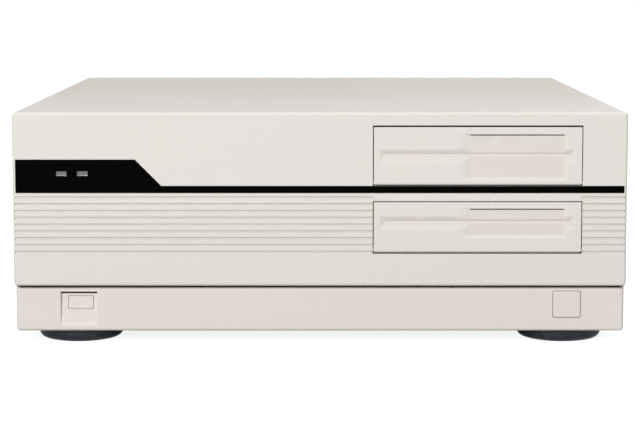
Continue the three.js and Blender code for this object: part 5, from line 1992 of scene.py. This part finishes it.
@dataclass
class RoundFeet:
    """The four moulded round feet, each with a fixing screw in the recess of its sole."""

    swell: float = 1 * MM
    edge: float = 0.8 * MM
    rounding: tuple[Span, ...] = (
        (4.8 * MM, 0.0),
        (2.8 * MM, 0.5 * MM),
        (1.4 * MM, 1.4 * MM),
        (0.4 * MM, 2.8 * MM),
        (0.0, 4.8 * MM),
    )
    recess_radius: float = 12 * MM
    recess_depth: float = 5 * MM
    ring_width: float = 3 * MM
    ring_depth: float = 0.8 * MM
    edge_ease: float = 0.4 * MM
    ease_steps: int = 3
    steps: int = 72
    screw: CrossScrew = field(default_factory=lambda: CrossScrew(radius=4.4 * MM))

    def build(self) -> None:
        """Model one foot and copy it, then add the screws."""
        nodes = [f"foot_{row}_{side}" for row in ("front", "rear") for side in ("left", "right")]
        foot = self._foot(NodeBox(nodes[0]))
        screws: dict[str, Point] = {}
        for node in nodes:
            x, y, _ = NodeBox(node).middle
            foot.twin((x, y, 0.0)).finish(node + "_pad", Body.CASE, FOOT_RUBBER, [node])
            screws[node + "_screw"] = (x, y, self.recess_depth)
        foot.discard()
        self.screw.build(screws, (math.pi, 0.0, 0.0))

    def _foot(self, box: NodeBox) -> Workpiece:
        """Turn one foot about the upright axis.

        Args:
            box: The box of one of the feet.

        Returns:
            The foot, at the origin.
        """
        radius, height = (box.x[1] - box.x[0]) / 2 + self.swell, box.z[1]
        sole = radius - self.rounding[0][0]
        ring = around((self.recess_radius + sole) / 2, self.ring_width)
        profile = [
            (0, self.recess_depth),
            (self.recess_radius, self.recess_depth),
            (self.recess_radius, 0),
            (ring[0], 0),
            (ring[0], self.ring_depth),
            (ring[1], self.ring_depth),
            (ring[1], 0),
            *((radius - inset, rise) for inset, rise in self.rounding),
            (radius, height - self.edge),
            (radius - self.edge, height),
            (0, height),
        ]
        return Workpiece.turned(profile, self.steps).ease(self.edge_ease, self.ease_steps).smooth()


@dataclass
class RearScrews:
    """The screws that hold the fans, the power supply and the slot covers to the rear."""

    fan_spacing: float = 71.5 * MM
    supply_fan_spacing: float = 65 * MM
    supply_x: Span = (3 * MM, 9.3 * MM)
    supply_z: Span = (3.5 * MM, 2.6 * MM)
    cover_rise: float = 5.5 * MM
    screw: CrossScrew = field(default_factory=CrossScrew)

    def build(self) -> None:
        """Model the screws, facing backwards."""
        places = {f"rear_screw_{i}": place for i, place in enumerate(self._places(), 1)}
        self.screw.build(places, (-math.pi / 2, 0.0, 0.0))

    def _places(self) -> list[Point]:
        """Work out where each screw's seat is.

        Returns:
            The places.
        """
        tray, back = NodeBox("psu_tray"), NodeBox("rear_panel").y[1]
        fans = (
            ("rear_fan_frame_1", self.fan_spacing, back),
            ("rear_fan_frame_2", self.fan_spacing, back),
            ("psu_fan_frame", self.supply_fan_spacing, tray.y[1]),
        )
        places = []
        for node, spacing, y in fans:
            x, _, z = NodeBox(node).middle
            places += [(column, y, row) for column in around(x, spacing) for row in around(z, spacing)]
        columns = (tray.x[0] + self.supply_x[0], tray.x[1] - self.supply_x[1])
        rows = (tray.z[0] + self.supply_z[0], tray.z[1] - self.supply_z[1])
        places += [(column, back, row) for column in columns for row in rows]
        covers = [NodeBox(node) for node in SLOT_COVERS]
        return places + [(cover.middle[0], back, cover.z[1] + self.cover_rise) for cover in covers]


@dataclass
class Works:
    """The pieces seen behind the doors, through the vents and at the back."""

    sheet_ease: float = 0.15 * MM
    body_ease: float = 0.3 * MM

    def build(self) -> None:
        """Show most pieces as eased copies, and the rest in their CAD shape with a finish."""
        zinc = ["rear_panel", "psu_tray", "psu_lid", "base_pan", "front_plate", "drive_cage"]
        bright = [*COVER_SCREWS, "rear_usb_ports", "network_port", "display_port"]
        bright += ["front_usb_port_1", "front_usb_port_2", "io_shield", *SLOT_COVERS]
        dark = ["optical_drive", "optical_tray_front", "front_port_panel", "headset_jack", "audio_jacks"]
        dark += ["mains_inlet", "psu_switch", "power_switch", "reset_switch"]
        dark += ["rear_fan_frame_1", "rear_fan_frame_2", "psu_fan_frame", "cpu_fan_frame"]
        for finish, nodes in ((ZINC_STEEL, zinc), (BRIGHT_STEEL, bright), (DARK_PLASTIC, dark)):
            for node in nodes:
                self._ease(node, finish, self.sheet_ease)
        self._ease("eject_button", DARK_PLASTIC, self.sheet_ease, Body.EJECT_BUTTON)
        self._ease("psu_rocker", DARK_PLASTIC, self.body_ease, Body.ROCKER)
        self._ease("hard_drive", ALUMINIUM, self.body_ease)
        rotors = ["rear_fan_rotor_1", "rear_fan_rotor_2", "psu_fan_rotor", "cpu_fan_rotor"]
        boards = ["lamp_board", "front_port_board", "motherboard", "psu_board"]
        boards += ["memory_module_1", "memory_module_2"]
        dark = [*rotors, "power_cable"]
        for finish, nodes in ((DARK_PLASTIC, dark), (BOARD, boards), (ALUMINIUM, ["cpu_heatsink"])):
            for node in nodes:
                self._dress(node, finish)

    def _ease(self, node: str, finish: Finish, ease: float, body: Body = Body.CASE) -> None:
        """Copy a CAD node, ease its edges and dress it."""
        piece = Workpiece.copy_of(node).ease(ease).smooth()
        piece.finish(node + "_made", body, finish, [node])

    def _dress(self, node: str, finish: Finish) -> None:
        """Give a CAD node its finish.

        Args:
            node: The CAD node.
            finish: The finish that it gets.
        """
        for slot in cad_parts[node].material_slots:
            slot.material = finish.material()
        LOG.info("%s: %s", node, finish.name)


# Studio


@dataclass
class Softbox:
    """A large square light that faces the computer."""

    name: str
    place: tuple[float, float, float]
    size: float
    watts: float

    def hang(self) -> None:
        """Hang the light in its place."""
        light = bpy.data.lights.new(self.name, "AREA")
        light.shape = "SQUARE"
        light.size = self.size
        light.energy = self.watts
        lamp = bpy.data.objects.new(self.name, light)
        lamp.location = self.place
        lamp.rotation_euler = (-Vector(self.place)).to_track_quat("-Z", "Y").to_euler()
        bpy.context.scene.collection.objects.link(lamp)


@dataclass
class Studio:
    """The pale floor and backdrop, the soft lights and the camera."""

    floor_half: float = 6.0
    sweep_height: float = 5.0
    sweep_radius: float = 1.5
    sweep_steps: int = 16
    floor_tint: Colour = (0.38, 0.38, 0.38)
    floor_roughness: float = 0.9
    floor_glow: float = 0.87
    sky: float = 0.30
    lights: tuple[Softbox, ...] = (
        Softbox("key_softbox", place=(-1.5, -5.0, 2.2), size=2.2, watts=233.0),
        Softbox("top_softbox", place=(0.2, 0.2, 2.6), size=2.6, watts=29.0),
        Softbox("rear_softbox", place=(2.0, 2.6, 3.3), size=2.4, watts=62.0),
    )
    camera_place: tuple[float, float, float] = (0.0, -1.5356, 0.2718)
    camera_fall: float = 0.0967
    camera_near: float = 0.05
    lens: float = 104.1
    shift: float = -0.10

    def build(self) -> None:
        """Set everything up."""
        bpy.context.scene.view_settings.view_transform = "Standard"
        self._backdrop()
        self._world()
        for light in self.lights:
            light.hang()
        self._camera()

    def _backdrop(self) -> None:
        """Model a floor that sweeps up behind the computer, and dress it."""
        bpy.ops.object.select_all(action="DESELECT")
        bpy.ops.mesh.primitive_plane_add(size=2 * self.floor_half)
        sheet = Workpiece(bpy.context.object).settle()
        sheet.pull(at("y", self.floor_half), (0, 0, self.sweep_height))
        sheet.bevel(both(at("y", self.floor_half), at("z", 0.0)), self.sweep_radius, self.sweep_steps)
        activate(sheet.obj)
        bpy.ops.object.shade_smooth()
        sheet.obj.name = "floor_sweep"
        material = bpy.data.materials.new("Pale floor")
        material.use_nodes = True
        net = Net(material.node_tree)
        seen = net.add("LightPath").outputs["Is Camera Ray"]
        looks = {
            "Base Color": paint(self.floor_tint),
            "Roughness": self.floor_roughness,
            "Specular IOR Level": 0.0,
            "Emission Color": (1, 1, 1, 1),
            "Emission Strength": net.times(seen, self.floor_glow),
        }
        net.feed(material.node_tree.nodes["Principled BSDF"], looks)
        sheet.obj.data.materials.append(material)

    def _world(self) -> None:
        """Make an even white sky."""
        world = bpy.data.worlds.new("Studio sky")
        world.use_nodes = True
        net = Net(world.node_tree)
        seen = net.add("LightPath").outputs["Is Camera Ray"]
        looks = {"Color": (1, 1, 1, 1), "Strength": net.maths("MAXIMUM", seen, self.sky)}
        net.feed(world.node_tree.nodes["Background"], looks)
        bpy.context.scene.world = world

    def _camera(self) -> None:
        """Set the camera at the photograph's point of view."""
        data = bpy.data.cameras.new("camera")
        data.lens = self.lens
        data.shift_y = self.shift
        data.clip_start = self.camera_near
        camera = bpy.data.objects.new("camera", data)
        camera.location = self.camera_place
        camera.rotation_euler = (math.pi / 2 - self.camera_fall, 0.0, 0.0)
        bpy.context.scene.collection.objects.link(camera)
        bpy.context.scene.camera = camera


def main() -> None:
    """Build the studio, then the computer from the outside in."""
    logging.basicConfig(level=logging.INFO, format="%(message)s")
    Studio().build()
    CoverShell().build()
    FrontFascia().build()
    StripeAndLamps().build()
    for door in DOORS:
        door.build()
    # Painted shade in the gaps round the doors and above the band.
    GapShadeStrips().build()
    LowerBand().build()
    RoundFeet().build()
    RearScrews().build()
    Works().build()


if __name__ == "__main__":
    main()
